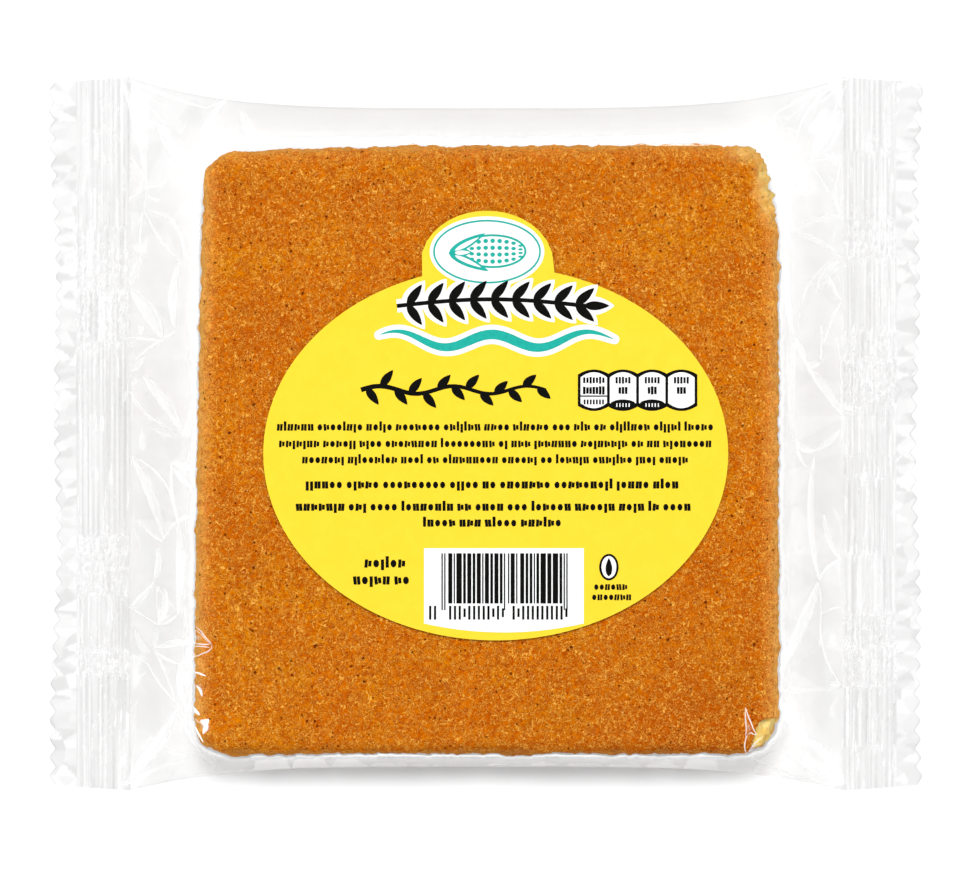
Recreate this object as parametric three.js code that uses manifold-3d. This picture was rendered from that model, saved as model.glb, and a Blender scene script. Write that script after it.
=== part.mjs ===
// A square of cornbread in a clear, sealed flow-wrap pack with an oval label on its face.
// Millimetres, +Z up. The pack lies on its back, with its two end seals along X and its label up.
// The origin is the middle of its footprint, on the surface that it lies on.

import * as THREE from "three";
import { mergeVertices } from "three/addons/utils/BufferGeometryUtils.js";
import Module from "manifold-3d";

// The bread inside the pack
const BREAD_LENGTH = 114; // along X
const BREAD_WIDTH = 119; // along Y
const BREAD_HEIGHT = 15;
const BREAD_CORNER = 6; // radius of its corners in plan
const BREAD_MIDDLE_X = 0.1;
const BREAD_MIDDLE_Y = -3.1; // it has slid towards one long fold

// The film around it
const PACK_LENGTH = 172; // from tip to tip of the end seals
const PACK_WIDTH = 140; // of the flattened tube at the end seals
const FILM_PLAY = 0.3; // what film and air add above the bread
const UPPER_WAIST = 63.9; // where the fold at +Y lies beside the middle of the bread
const LOWER_WAIST = 64.9; // the same for the fold at -Y
const WAIST_POWER = 4; // how late the folds spread towards the end seals
const SEAM_HEIGHT = 6.4; // height of the folds and end seals above the surface
const SEAM_WAVE = 0.5; // how far they wander up and down
const SEAM_WAVE_LENGTH = 61;
const EDGE_THICKNESS = 0.9; // of the body where the film comes together

// Crumpled film between the bread and the seals
const CRUMPLE_HEIGHT = 1.1;
const CRUMPLE_SEED = 20;

// End seals
const CRIMP_START = 70; // from the middle of the pack
const CRIMP_WIDTH = 10;
const RIB_PITCH = 1.05;
const RIB_HEIGHT = 0.34;
const FIN_THICKNESS = 0.6;
const FIN_OVERLAP = 0.9; // how far a fin reaches into the body
const FIN_TAPER = 0.016; // share of its width that a fin loses at its outer edge
const FIN_BOW = 1.1; // how far the middle of its edge lies back
const FIN_ROWS = 20;
const TOOTH_PITCH = 3.68;
const TOOTH_DEPTH = 1.3;
const CUTTER_MARGIN = 3;

// Back seal, a flat ribbed band along the underside
const BACK_SEAL_Y = 9;
const BACK_SEAL_RIBS = 5;
const BACK_SEAL_PITCH = 2.2;
const BACK_SEAL_LENGTH = 110;
const BACK_GROOVE_WIDTH = 0.7;
const BACK_GROOVE_DEPTH = 0.3;

// Label
const LABEL_MIDDLE_X = 1.8;
const LABEL_MIDDLE_Y = -3.8;
const LABEL_HALF_LENGTH = 45.4;
const LABEL_HALF_WIDTH = 36.5;
const LABEL_TAB_X = 0.1;
const LABEL_TAB_Y = 33.4;
const LABEL_TAB_HALF_LENGTH = 12.9;
const LABEL_TAB_HALF_WIDTH = 10.2;
const LABEL_SIDES = 160;
const LABEL_THICKNESS = 0.3;
const LABEL_GAP = 0.3; // between the film and the label
const LABEL_FILLET = 26; // the higher, the tighter the corner where tab and oval meet

// How finely the body is divided
const SHOULDER_COLUMNS = 7; // between an end seal and the bread
const BREAD_COLUMNS = 12;
const FOLD_ROWS = 3; // between a long fold and the bread
const BREAD_ROWS = 42;

const HALF_LENGTH = PACK_LENGTH / 2;
const HALF_WIDTH = PACK_WIDTH / 2;
const PACK_TOP = BREAD_HEIGHT + FILM_PLAY;
const COLUMNS = 2 * SHOULDER_COLUMNS + BREAD_COLUMNS;
const ROWS = 2 * FOLD_ROWS + BREAD_ROWS;

const wasm = await Module();
wasm.setup();

// A closed geometry as a manifold-3d solid.
function solidOf(geometry) {
  const bare = geometry.clone();
  bare.deleteAttribute("normal");
  bare.deleteAttribute("uv");
  const merged = mergeVertices(bare, 1e-4);
  return new wasm.Manifold(
    new wasm.Mesh({
      numProp: 3,
      vertProperties: new Float32Array(merged.attributes.position.array),
      triVerts: new Uint32Array(merged.index.array),
    }),
  );
}

// A manifold-3d solid as a geometry.
function geometryOf(solid) {
  const mesh = solid.getMesh();
  const geometry = new THREE.BufferGeometry();
  geometry.setAttribute("position", new THREE.BufferAttribute(mesh.vertProperties, 3));
  geometry.setIndex(new THREE.BufferAttribute(mesh.triVerts, 1));
  geometry.computeVertexNormals();
  return geometry;
}

// Calls move(point) on every vertex of a geometry and stores the point back.
function moveVertices(geometry, move) {
  const position = geometry.attributes.position;
  const point = new THREE.Vector3();
  for (let i = 0; i < position.count; i += 1) {
    point.fromBufferAttribute(position, i);
    move(point);
    position.setXYZ(i, point.x, point.y, point.z);
  }
  return geometry;
}

// A number from -1 to 1 that is always the same for the same cell of a grid.
function scatter(column, row, layer) {
  const mixed = Math.sin(column * 12.9898 + row * 78.233 + layer * 37.719 + CRUMPLE_SEED) * 43758.5453;
  return 2 * (mixed - Math.floor(mixed)) - 1;
}

// Where the two long folds lie at a place along the pack.
function foldAt(x, waist) {
  const spread = Math.min(Math.abs(x) / CRIMP_START, 1) ** WAIST_POWER;
  return THREE.MathUtils.lerp(waist, HALF_WIDTH, spread);
}

// Height of the folds and of the end seals, which wander a little.
function seamHeight(y) {
  return SEAM_HEIGHT + SEAM_WAVE * Math.sin((2 * Math.PI * y) / SEAM_WAVE_LENGTH);
}

// How far a place lies outside the bread in plan, 0 over it.
function outsideBread(x, y) {
  const overX = Math.abs(x - BREAD_MIDDLE_X) - (BREAD_LENGTH / 2 - BREAD_CORNER);
  const overY = Math.abs(y - BREAD_MIDDLE_Y) - (BREAD_WIDTH / 2 - BREAD_CORNER);
  const corner = Math.hypot(Math.max(overX, 0), Math.max(overY, 0));
  return Math.max(corner - BREAD_CORNER, 0);
}

// How far a place lies inside the nearest fold or end seal.
function insideEdge(x, y) {
  const toUpper = foldAt(x, UPPER_WAIST) - y;
  const toLower = y + foldAt(x, LOWER_WAIST);
  const toCrimp = CRIMP_START - Math.abs(x);
  return Math.max(Math.min(toUpper, toLower, toCrimp), 0);
}

// The grid's columns crowd in the shoulders, and its rows beside the folds.
function columnX(column) {
  const breadStart = BREAD_MIDDLE_X - BREAD_LENGTH / 2;
  const breadEnd = BREAD_MIDDLE_X + BREAD_LENGTH / 2;
  if (column <= SHOULDER_COLUMNS) {
    return THREE.MathUtils.lerp(-CRIMP_START, breadStart, column / SHOULDER_COLUMNS);
  }
  if (column >= COLUMNS - SHOULDER_COLUMNS) {
    return THREE.MathUtils.lerp(CRIMP_START, breadEnd, (COLUMNS - column) / SHOULDER_COLUMNS);
  }
  return THREE.MathUtils.lerp(breadStart, breadEnd, (column - SHOULDER_COLUMNS) / BREAD_COLUMNS);
}

function rowY(row, x) {
  const breadLow = BREAD_MIDDLE_Y - BREAD_WIDTH / 2;
  const breadHigh = BREAD_MIDDLE_Y + BREAD_WIDTH / 2;
  if (row <= FOLD_ROWS) {
    return THREE.MathUtils.lerp(-foldAt(x, LOWER_WAIST), breadLow, row / FOLD_ROWS);
  }
  if (row >= ROWS - FOLD_ROWS) {
    return THREE.MathUtils.lerp(foldAt(x, UPPER_WAIST), breadHigh, (ROWS - row) / FOLD_ROWS);
  }
  return THREE.MathUtils.lerp(breadLow, breadHigh, (row - FOLD_ROWS) / BREAD_ROWS);
}

// The filled middle of the pack: a finely divided box whose two faces become the film above and
// below the bread. Past the bread they run down and up to meet at the folds and end seals.
function packBody() {
  const box = new THREE.BoxGeometry(COLUMNS, ROWS, 2, COLUMNS, ROWS, 1);
  return moveVertices(box, (point) => {
    const column = Math.round(point.x + COLUMNS / 2);
    const row = Math.round(point.y + ROWS / 2);
    const upper = point.z > 0;
    const x = columnX(column);
    const y = rowY(row, x);
    const outside = outsideBread(x, y);
    const slope = outside / (outside + insideEdge(x, y) + 1e-6);
    const seam = seamHeight(y) + (upper ? EDGE_THICKNESS : -EDGE_THICKNESS) / 2;
    const crumple = CRUMPLE_HEIGHT * 4 * slope * (1 - slope) * scatter(column, row, upper ? 1 : 2);
    const face = upper ? PACK_TOP : 0;
    const height = THREE.MathUtils.lerp(face, seam, slope) + crumple;
    point.set(x, y, THREE.MathUtils.clamp(height, 0, PACK_TOP));
  });
}

// The section of an end seal: a thin strip with pressed ribs and a plain outer margin.
function finSection() {
  const ribStart = CRIMP_START + RIB_PITCH;
  const ribEnd = CRIMP_START + CRIMP_WIDTH;
  const middle = [new THREE.Vector2(CRIMP_START - FIN_OVERLAP, 0)];
  const steps = Math.round((2 * (ribEnd - ribStart)) / RIB_PITCH);
  for (let step = 0; step <= steps; step += 1) {
    const lift = step % 2 ? RIB_HEIGHT / 2 : -RIB_HEIGHT / 2;
    middle.push(new THREE.Vector2(ribStart + (step * RIB_PITCH) / 2, lift));
  }
  middle.push(new THREE.Vector2(HALF_LENGTH + CUTTER_MARGIN / 2, 0));
  const above = middle.map((p) => new THREE.Vector2(p.x, p.y + FIN_THICKNESS / 2));
  const below = middle.map((p) => new THREE.Vector2(p.x, p.y - FIN_THICKNESS / 2));
  return new THREE.Shape([...below, ...above.reverse()]);
}

// What is cut away outside the zigzag edge of an end seal.
function zigzagCutter() {
  const teeth = Math.ceil(HALF_WIDTH / TOOTH_PITCH) + 1;
  const outline = new THREE.Shape();
  const far = HALF_LENGTH + CUTTER_MARGIN;
  outline.moveTo(far, -teeth * TOOTH_PITCH);
  for (let step = -2 * teeth; step <= 2 * teeth; step += 1) {
    const y = (step * TOOTH_PITCH) / 2;
    const bow = FIN_BOW * Math.max(1 - (y / HALF_WIDTH) ** 2, 0);
    const notch = step % 2 ? 0 : TOOTH_DEPTH;
    outline.lineTo(HALF_LENGTH - bow - notch, y);
  }
  outline.lineTo(far, teeth * TOOTH_PITCH);
  const cutter = new THREE.ExtrudeGeometry(outline, { depth: PACK_TOP, bevelEnabled: false });
  return solidOf(cutter);
}

// One end seal at +X, with its waves, taper and zigzag edge.
function fin() {
  const plate = new THREE.ExtrudeGeometry(finSection(), {
    depth: PACK_WIDTH,
    steps: FIN_ROWS,
    bevelEnabled: false,
  });
  plate.rotateX(Math.PI / 2);
  plate.translate(0, HALF_WIDTH, 0);
  moveVertices(plate, (point) => {
    const outward = Math.max(point.x - CRIMP_START, 0) / (HALF_LENGTH - CRIMP_START);
    point.y *= 1 - FIN_TAPER * outward;
    point.z += seamHeight(point.y);
  });
  return solidOf(plate).subtract(zigzagCutter());
}

// The same seal turned to -X: it keeps the heights that the body has there.
function finAtOtherEnd(seal) {
  return seal.mirror([1, 0, 0]);
}

// The grooves between the ribs of the back seal.
function backSealGrooves() {
  let grooves = null;
  for (let rib = 0; rib < BACK_SEAL_RIBS; rib += 1) {
    const groove = new THREE.BoxGeometry(BACK_SEAL_LENGTH, BACK_GROOVE_WIDTH, 2 * BACK_GROOVE_DEPTH);
    const y = BACK_SEAL_Y + (rib - (BACK_SEAL_RIBS - 1) / 2) * BACK_SEAL_PITCH;
    groove.translate(BREAD_MIDDLE_X, y, 0);
    grooves = grooves ? grooves.add(solidOf(groove)) : solidOf(groove);
  }
  return grooves;
}

function filmPack() {
  const seal = fin();
  const pack = solidOf(packBody()).add(seal).add(finAtOtherEnd(seal));
  return geometryOf(pack.subtract(backSealGrooves()));
}

// How far the edge of an ellipse lies from the label's middle in a direction, 0 if it isn't met.
function reachOf(angle, middleX, middleY, halfLength, halfWidth) {
  const dx = Math.cos(angle) / halfLength;
  const dy = Math.sin(angle) / halfWidth;
  const ox = -middleX / halfLength;
  const oy = -middleY / halfWidth;
  const a = dx * dx + dy * dy;
  const b = ox * dx + oy * dy;
  const c = ox * ox + oy * oy - 1;
  const root = b * b - a * c;
  return root > 0 ? Math.max((Math.sqrt(root) - b) / a, 0) : 0;
}

// An oval with a round tab on its upper edge, and a small fillet where the two meet.
function label() {
  const outline = [];
  for (let side = 0; side < LABEL_SIDES; side += 1) {
    const angle = (2 * Math.PI * side) / LABEL_SIDES;
    const oval = reachOf(angle, 0, 0, LABEL_HALF_LENGTH, LABEL_HALF_WIDTH);
    const tab = reachOf(
      angle,
      LABEL_TAB_X - LABEL_MIDDLE_X,
      LABEL_TAB_Y - LABEL_MIDDLE_Y,
      LABEL_TAB_HALF_LENGTH,
      LABEL_TAB_HALF_WIDTH,
    );
    const reach = (oval ** LABEL_FILLET + tab ** LABEL_FILLET) ** (1 / LABEL_FILLET);
    outline.push(new THREE.Vector2(reach * Math.cos(angle), reach * Math.sin(angle)));
  }
  const sheet = new THREE.ExtrudeGeometry(new THREE.Shape(outline), {
    depth: LABEL_THICKNESS,
    bevelEnabled: false,
  });
  return geometryOf(solidOf(sheet));
}

const clearFilm = new THREE.MeshStandardMaterial({
  color: 0xe9edef,
  roughness: 0.12,
  metalness: 0,
  transparent: true,
  opacity: 0.35,
});
const yellowPaper = new THREE.MeshStandardMaterial({
  color: 0xfee83c,
  roughness: 0.45,
  metalness: 0,
});

const pack = new THREE.Group();

const filmPackMesh = new THREE.Mesh(filmPack(), clearFilm);
filmPackMesh.name = "film_pack";
pack.add(filmPackMesh);

const labelMesh = new THREE.Mesh(label(), yellowPaper);
labelMesh.name = "label";
labelMesh.position.set(LABEL_MIDDLE_X, LABEL_MIDDLE_Y, PACK_TOP + LABEL_GAP);
pack.add(labelMesh);

export default pack;
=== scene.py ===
# %% [markdown]
# # A square of cornbread in its flow-wrap pack
# The object is a flat square of cornbread, sealed in a tube of clear film. The film is folded round
# the bread, welded along its back, and pressed shut at both ends between ribbed, heated jaws that
# also cut it in a zigzag. An oval label with a round tab sits on its face.
# The model's frame comes first: every piece is then made in place around it, in metres.

# %% The frame
import math
import random

import bmesh
import bpy
import numpy as np
from mathutils import Matrix, Vector, noise
from mathutils.geometry import delaunay_2d_cdt


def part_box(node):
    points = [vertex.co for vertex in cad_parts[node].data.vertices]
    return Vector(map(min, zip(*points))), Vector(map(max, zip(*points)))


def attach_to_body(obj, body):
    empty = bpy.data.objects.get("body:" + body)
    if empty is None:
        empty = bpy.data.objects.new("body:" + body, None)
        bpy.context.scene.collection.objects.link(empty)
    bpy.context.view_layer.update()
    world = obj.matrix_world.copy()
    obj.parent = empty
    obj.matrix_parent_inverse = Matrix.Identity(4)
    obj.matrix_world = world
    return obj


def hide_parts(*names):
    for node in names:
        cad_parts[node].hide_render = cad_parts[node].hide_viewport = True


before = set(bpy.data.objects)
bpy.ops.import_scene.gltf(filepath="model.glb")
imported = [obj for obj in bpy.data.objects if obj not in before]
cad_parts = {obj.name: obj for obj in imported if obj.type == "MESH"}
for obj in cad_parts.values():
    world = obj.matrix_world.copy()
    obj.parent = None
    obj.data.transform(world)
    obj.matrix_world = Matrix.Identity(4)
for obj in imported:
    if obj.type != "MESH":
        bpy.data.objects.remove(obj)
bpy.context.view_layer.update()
print("nodes:", sorted(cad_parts))

# %% [markdown]
# ## Sizes
# A flow-wrap machine has only a few settings: the width of the film, the length that it cuts off,
# and the seals. With the size of the bread they fix every other shape, so they stand here together.
# Work in millimetres is easier to read. One factor turns them into Blender's metres.

# %% Sizes in millimetres
MM = 0.001
BREAD_LENGTH, BREAD_WIDTH, BREAD_HEIGHT = 113.3, 118.1, 14.8
BREAD_X, BREAD_Y, BREAD_BASE = 0.07, -3.1, 0.35
RESTING_SHARE = 0.25  # how much of the relief is left where the bread rests on the film
BREAD_CORNER, BREAD_EDGE = 5.6, 2.4

HALF_LENGTH, HALF_WIDTH = 86.0, 70.0
UPPER_WAIST, LOWER_WAIST, WAIST_POWER = 63.9, 65.3, 4.0
FILM_TOP, FILM_UNDER = 15.5, 0.14
SEAM_HEIGHT, SEAM_WAVE, SEAM_WAVE_LENGTH = 6.4, 0.5, 61.0
CRIMP_START, CRIMP_END, RIB_PITCH = 70.0, 80.3, 1.05
TOOTH_PITCH, TOOTH_DEPTH = 3.684, 1.3
SEAL_MIDDLE, SEAL_HALF = 9.0, 5.5
label_low, label_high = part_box("label")
LABEL_TOP = label_high.z / MM
print("label from", [round(v / MM, 2) for v in label_low], "to", [round(v / MM, 2) for v in label_high])

# %% [markdown]
# ## Camera, floor and light
# The pack lies on its back on a white table, and the camera hangs above it with a long lens, so
# that the sides stay out of sight and lengths near the edges aren't drawn out.
# Clear film is lit from the sides. A large lamp beside the camera would mirror in every flat part
# and veil the bread, so the air above stays dark, and soft boxes stand round the table.

# %% Camera
CAMERA_HEIGHT = 2.0
PICTURE_WIDTH, PIXELS_PER_MM = 972, 5.12
CAMERA_X, CAMERA_Y = -0.1, -0.49

camera_data = bpy.data.cameras.new("camera")
camera_data.sensor_width = 36.0
camera_data.lens = 36.0 * CAMERA_HEIGHT / (PICTURE_WIDTH / PIXELS_PER_MM * MM)
camera_data.clip_start, camera_data.clip_end = 0.05, 20.0
camera = bpy.data.objects.new("camera", camera_data)
camera.location = (CAMERA_X * MM, CAMERA_Y * MM, CAMERA_HEIGHT + FILM_TOP * MM)
bpy.context.collection.objects.link(camera)
bpy.context.scene.camera = camera
bpy.context.scene.view_settings.view_transform = "Standard"
print("lens:", round(camera_data.lens, 1), "mm at", CAMERA_HEIGHT, "m")


# %% Helpers for objects
MOST_VERTICES = 1000000


def vertex_order(element):
    """A number that puts edges and faces in the order of their vertices."""
    numbers = [vert.index for vert in element.verts]
    return min(numbers) * MOST_VERTICES + max(numbers)


def keep(bm, name, material, smooth=True):
    """A bmesh, sorted because extruding leaves a chance order, becomes an object with one material."""
    bm.verts.index_update()
    bm.edges.sort(key=vertex_order)
    bm.faces.sort(key=vertex_order)
    mesh = bpy.data.meshes.new(name)
    bm.to_mesh(mesh)
    bm.free()
    mesh.materials.append(material)
    for polygon in mesh.polygons:
        polygon.use_smooth = smooth
    piece = bpy.data.objects.new(name, mesh)
    bpy.context.collection.objects.link(piece)
    return piece


def attach(piece, slot, *nodes):
    """The piece moves with the pack and stands for those nodes. The slot is not used."""
    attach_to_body(piece, "root")
    if nodes:
        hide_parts(*nodes)
    piece.data.calc_loop_triangles()
    print(piece.name, "has", len(piece.data.loop_triangles), "triangles")


# %% Helpers for materials
class Nodes:
    """A new material and short calls that add nodes to it."""

    def __init__(self, name):
        self.material = bpy.data.materials.new(name)
        self.material.use_nodes = True
        self.tree = self.material.node_tree
        self.shader = self.tree.nodes["Principled BSDF"]
        self.output = self.tree.nodes["Material Output"]

    def add(self, kind, **settings):
        node = self.tree.nodes.new(kind)
        for name, value in settings.items():
            setattr(node, name, value)
        return node

    def link(self, source, target):
        self.tree.links.new(source, target)
        return source

    def feed(self, socket, value):
        """A number or colour is set on the socket, and anything else is linked to it."""
        if isinstance(value, (int, float)):
            socket.default_value = value
        elif isinstance(value, tuple):
            socket.default_value = (*value, 1.0)
        else:
            self.link(value, socket)

    def place(self, scale=1.0, shift=0.0):
        """Object coordinates, with 1/scale millimetres as the unit."""
        coordinates = self.add("ShaderNodeTexCoord")
        mapping = self.add("ShaderNodeMapping")
        mapping.inputs["Scale"].default_value = [scale / MM] * 3
        mapping.inputs["Location"].default_value = [shift] * 3
        self.link(coordinates.outputs["Object"], mapping.inputs["Vector"])
        return mapping.outputs["Vector"]

    def noise(self, scale, detail=2.0, roughness=0.5, distortion=0.0, shift=0.0):
        node = self.add("ShaderNodeTexNoise")
        node.inputs["Scale"].default_value = 1.0
        node.inputs["Detail"].default_value = detail
        node.inputs["Roughness"].default_value = roughness
        node.inputs["Distortion"].default_value = distortion
        self.link(self.place(scale, shift), node.inputs["Vector"])
        return node.outputs["Fac"]

    def span(self, value, low, high, to_low=0.0, to_high=1.0):
        """Maps low..high to to_low..to_high, eased and held at both ends."""
        node = self.add("ShaderNodeMapRange", interpolation_type="SMOOTHSTEP")
        for name, number in zip(("From Min", "From Max", "To Min", "To Max"), (low, high, to_low, to_high)):
            node.inputs[name].default_value = number
        self.link(value, node.inputs["Value"])
        return node.outputs["Result"]

    def math(self, operation, a, b=0.0):
        node = self.add("ShaderNodeMath", operation=operation)
        self.feed(node.inputs[0], a)
        self.feed(node.inputs[1], b)
        return node.outputs["Value"]

    def mix(self, factor, a, b, blend="MIX"):
        node = self.add("ShaderNodeMix", data_type="RGBA", blend_type=blend)
        for socket, value in zip((node.inputs[0], node.inputs[6], node.inputs[7]), (factor, a, b)):
            self.feed(socket, value)
        return node.outputs[2]

    def bump(self, height, strength, depth_mm, below=None):
        node = self.add("ShaderNodeBump")
        node.inputs["Strength"].default_value = strength
        node.inputs["Distance"].default_value = depth_mm * MM
        self.link(height, node.inputs["Height"])
        if below is not None:
            self.link(below, node.inputs["Normal"])
        return node.outputs["Normal"]

    def attribute(self, name):
        return self.add("ShaderNodeAttribute", attribute_name=name).outputs["Fac"]


def paint(red, green, blue):
    """A colour picked as 0 to 255 values on screen, as the linear numbers that Blender uses."""
    shares = (red / 255, green / 255, blue / 255)
    return tuple(((c + 0.055) / 1.055) ** 2.4 if c > 0.04 else c / 12.92 for c in shares)


# %% Floor
FLOOR_HALF, FLOOR_DROP = 4.0, 0.02
FLOOR_SHADE = 0.93

floor_nodes = Nodes("floor_white")
floor_nodes.feed(floor_nodes.shader.inputs["Base Color"], (FLOOR_SHADE,) * 3)
floor_nodes.shader.inputs["Roughness"].default_value = 0.9
floor_nodes.shader.inputs["Specular IOR Level"].default_value = 0.1
floor_mesh = bmesh.new()
bmesh.ops.create_grid(floor_mesh, x_segments=1, y_segments=1, size=FLOOR_HALF)
bmesh.ops.translate(floor_mesh, vec=(0, 0, -FLOOR_DROP * MM), verts=floor_mesh.verts)
floor = keep(floor_mesh, "floor", floor_nodes.material, smooth=False)


# %% Lamps
def soft_box(name, bearing, elevation, distance, size_x, size_y, power):
    """An oval lamp on a bearing from +Y, clockwise from above, aimed at the pack."""
    data = bpy.data.lights.new(name, "AREA")
    data.shape = "ELLIPSE"
    data.size, data.size_y = size_x, size_y
    data.energy = power
    lamp = bpy.data.objects.new(name, data)
    up, round_ = math.radians(elevation), math.radians(bearing)
    away = Vector((math.sin(round_) * math.cos(up), math.cos(round_) * math.cos(up), math.sin(up)))
    lamp.location = away * distance
    lamp.rotation_euler = away.to_track_quat("Z", "Y").to_euler()
    bpy.context.collection.objects.link(lamp)


# name, bearing, elevation, distance, width, height and power
LAMPS = (
    ("key_lamp", -3, 67.9, 1.5, 0.66, 0.47, 15.9),
    ("far_left_lamp", -58, 50.0, 1.4, 0.66, 0.22, 2.1),
    ("far_right_lamp", 50, 47.0, 1.4, 0.66, 0.22, 2.1),
    ("left_lamp", -100, 36.0, 1.4, 0.78, 0.24, 2.6),
    ("right_lamp", 98, 38.0, 1.4, 0.78, 0.24, 2.8),
    ("near_left_lamp", -150, 46.0, 1.4, 0.66, 0.22, 2.5),
    ("near_right_lamp", 152, 50.0, 1.4, 0.66, 0.22, 2.5),
)
for lamp in LAMPS:
    soft_box(*lamp)
print("lamps:", [lamp[0] for lamp in LAMPS])

# %% The studio's walls
# Pale walls light the film's steep edges, and a dark ceiling keeps its flat parts clear.
WALL_LIGHT, CEILING_LIGHT = 0.60, 0.05
WALL_TOP, CEILING_START = 0.15, 0.55  # how steeply up, as the sine of the angle

world = bpy.data.worlds.new("studio")
world.use_nodes = True
sky = world.node_tree
way = sky.nodes.new("ShaderNodeTexCoord")
parts = sky.nodes.new("ShaderNodeSeparateXYZ")
rise = sky.nodes.new("ShaderNodeMapRange")
rise.inputs["From Min"].default_value, rise.inputs["From Max"].default_value = WALL_TOP, CEILING_START
rise.inputs["To Min"].default_value, rise.inputs["To Max"].default_value = WALL_LIGHT, CEILING_LIGHT
sky.links.new(way.outputs["Generated"], parts.inputs["Vector"])
sky.links.new(parts.outputs["Z"], rise.inputs["Value"])
sky.links.new(rise.outputs["Result"], sky.nodes["Background"].inputs["Strength"])
sky.nodes["Background"].inputs["Color"].default_value = (1.0, 1.0, 1.0, 1.0)
bpy.context.scene.world = world


# %% [markdown]
# ## The bread
# Cornbread baked in a tray and cut square has a flat face with a fine grain, soft edges where the
# crust turns over, and paler sides. It could be sculpted by hand, but its relief is one even
# texture, so noise does it better. A fine grid is the face. Its border is extruded outwards and
# down, ring by ring, into the edge and the sides, and the last ring is filled as the underside.

# %% The bread's rounded square
def outward(x, y):
    """The plan direction out of the bread's rounded square at a point on or outside its face."""
    over_x = abs(x) - (BREAD_LENGTH / 2 - BREAD_CORNER)
    over_y = abs(y) - (BREAD_WIDTH / 2 - BREAD_CORNER)
    if over_x > 0 and over_y > 0:
        way = Vector((over_x, over_y, 0)).normalized()
    else:
        way = Vector((1, 0, 0)) if over_x > over_y else Vector((0, 1, 0))
    return Vector((math.copysign(way.x, x), math.copysign(way.y, y), 0))


def rounded_corner(x, y):
    """Turns the square corners of the face into quarter circles."""
    radius = BREAD_CORNER - BREAD_EDGE
    start_x = BREAD_LENGTH / 2 - BREAD_CORNER
    start_y = BREAD_WIDTH / 2 - BREAD_CORNER
    u, v = (abs(x) - start_x) / radius, (abs(y) - start_y) / radius
    if u <= 0 or v <= 0:
        return x, y
    bent_u, bent_v = u * math.sqrt(1 - v * v / 2), v * math.sqrt(1 - u * u / 2)
    return math.copysign(start_x + bent_u * radius, x), math.copysign(start_y + bent_v * radius, y)


# %% The bread's plain form
BREAD_COLUMNS, BREAD_ROWS = 262, 272
EDGE_STEPS, SIDE_STEP = 5, 0.9
UNDER_EDGE, UNDER_INSETS, UNDER_STEPS = 1.6, (1.5, 4.0, 9.0), 3
SIDE_BULGE = 0.35


def side_profile():
    """(how far out, how high) for each ring, from the face's border to the underside."""
    rings = []
    for step in range(1, EDGE_STEPS + 1):
        angle = math.pi / 2 * step / EDGE_STEPS
        rings.append((BREAD_EDGE * math.sin(angle), BREAD_HEIGHT - BREAD_EDGE * (1 - math.cos(angle))))
    straight = BREAD_HEIGHT - BREAD_EDGE - UNDER_EDGE
    steps = round(straight / SIDE_STEP)
    for step in range(1, steps + 1):
        share = step / steps
        bulge = SIDE_BULGE * math.sin(math.pi * share)
        rings.append((BREAD_EDGE + bulge, UNDER_EDGE + straight * (1 - share)))
    for step in range(1, UNDER_STEPS + 1):
        angle = math.pi / 2 * step / UNDER_STEPS
        rings.append((BREAD_EDGE - UNDER_EDGE * (1 - math.cos(angle)), UNDER_EDGE * (1 - math.sin(angle))))
    for inset in UNDER_INSETS:
        rings.append((BREAD_EDGE - UNDER_EDGE - inset, 0.0))
    return rings


def plain_bread():
    bm = bmesh.new()
    bmesh.ops.create_grid(bm, x_segments=BREAD_COLUMNS, y_segments=BREAD_ROWS, size=1.0)
    half = (BREAD_LENGTH / 2 - BREAD_EDGE, BREAD_WIDTH / 2 - BREAD_EDGE)
    for vert in bm.verts:
        x, y = rounded_corner(vert.co.x * half[0], vert.co.y * half[1])
        vert.co = (x, y, BREAD_HEIGHT)
    border = [edge for edge in bm.edges if edge.is_boundary]
    reach = 0.0
    for out, height in side_profile():
        grown = bmesh.ops.extrude_edge_only(bm, edges=border)["geom"]
        for vert in (g for g in grown if isinstance(g, bmesh.types.BMVert)):
            step = outward(vert.co.x, vert.co.y) * (out - reach)
            vert.co = (vert.co.x + step.x, vert.co.y + step.y, height)
        border = [g for g in grown if isinstance(g, bmesh.types.BMEdge) and g.is_boundary]
        reach = out
    bmesh.ops.contextual_create(bm, geom=border)
    bmesh.ops.recalc_face_normals(bm, faces=bm.faces)
    return bm


# %% [markdown]
# ### Its relief
# Every vertex then moves a little along its own direction. Slow waves make the face uneven, a
# middle grain makes the crumbs, and rare deep spots are the pinholes that steam leaves. The cut
# isn't true: the square is a little narrower at its far left, its far right corner is rubbed, and
# its near right corner has lost its crust. Its weight presses the underside nearly flat. Two numbers
# on each vertex say how much crumb shows there and how pale the crust is near the edge, and the
# material reads them. That pale edge is partly a paler crust and partly painted light, which
# lightens the rounded edge where it turns away from the lamps.

# %% The bread's relief
RIM_WIDTH = 4.0
LEFT_RIM, RIGHT_RIM, FAR_RIM = 1.2, 1.15, 0.5


def grain(place, size, seed):
    """Noise from -1 to 1 with lumps of about that size in millimetres."""
    return noise.noise(place / size + Vector((seed * 17.3, seed * 5.1, seed * 9.7)))


def bread_relief(place, normal):
    """How far a point of the bread moves along its normal, in millimetres."""
    facing = max(normal.z, 0.0)
    side = 1 - facing
    slow = (0.16 * grain(place, 14.0, 1) + 0.12 * grain(place, 6.0, 2)) * facing
    lumps = 0.45 * side * grain(place, 5.5, 50)
    middle = (0.13 + 0.45 * side) * grain(place, 2.4, 3)
    fine = (0.11 + 0.30 * side) * grain(place, 1.2, 4)
    hole = max(grain(place, 2.1, 5) - 0.50, 0.0) * 1.7
    return slow + lumps + middle + fine - hole


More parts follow.
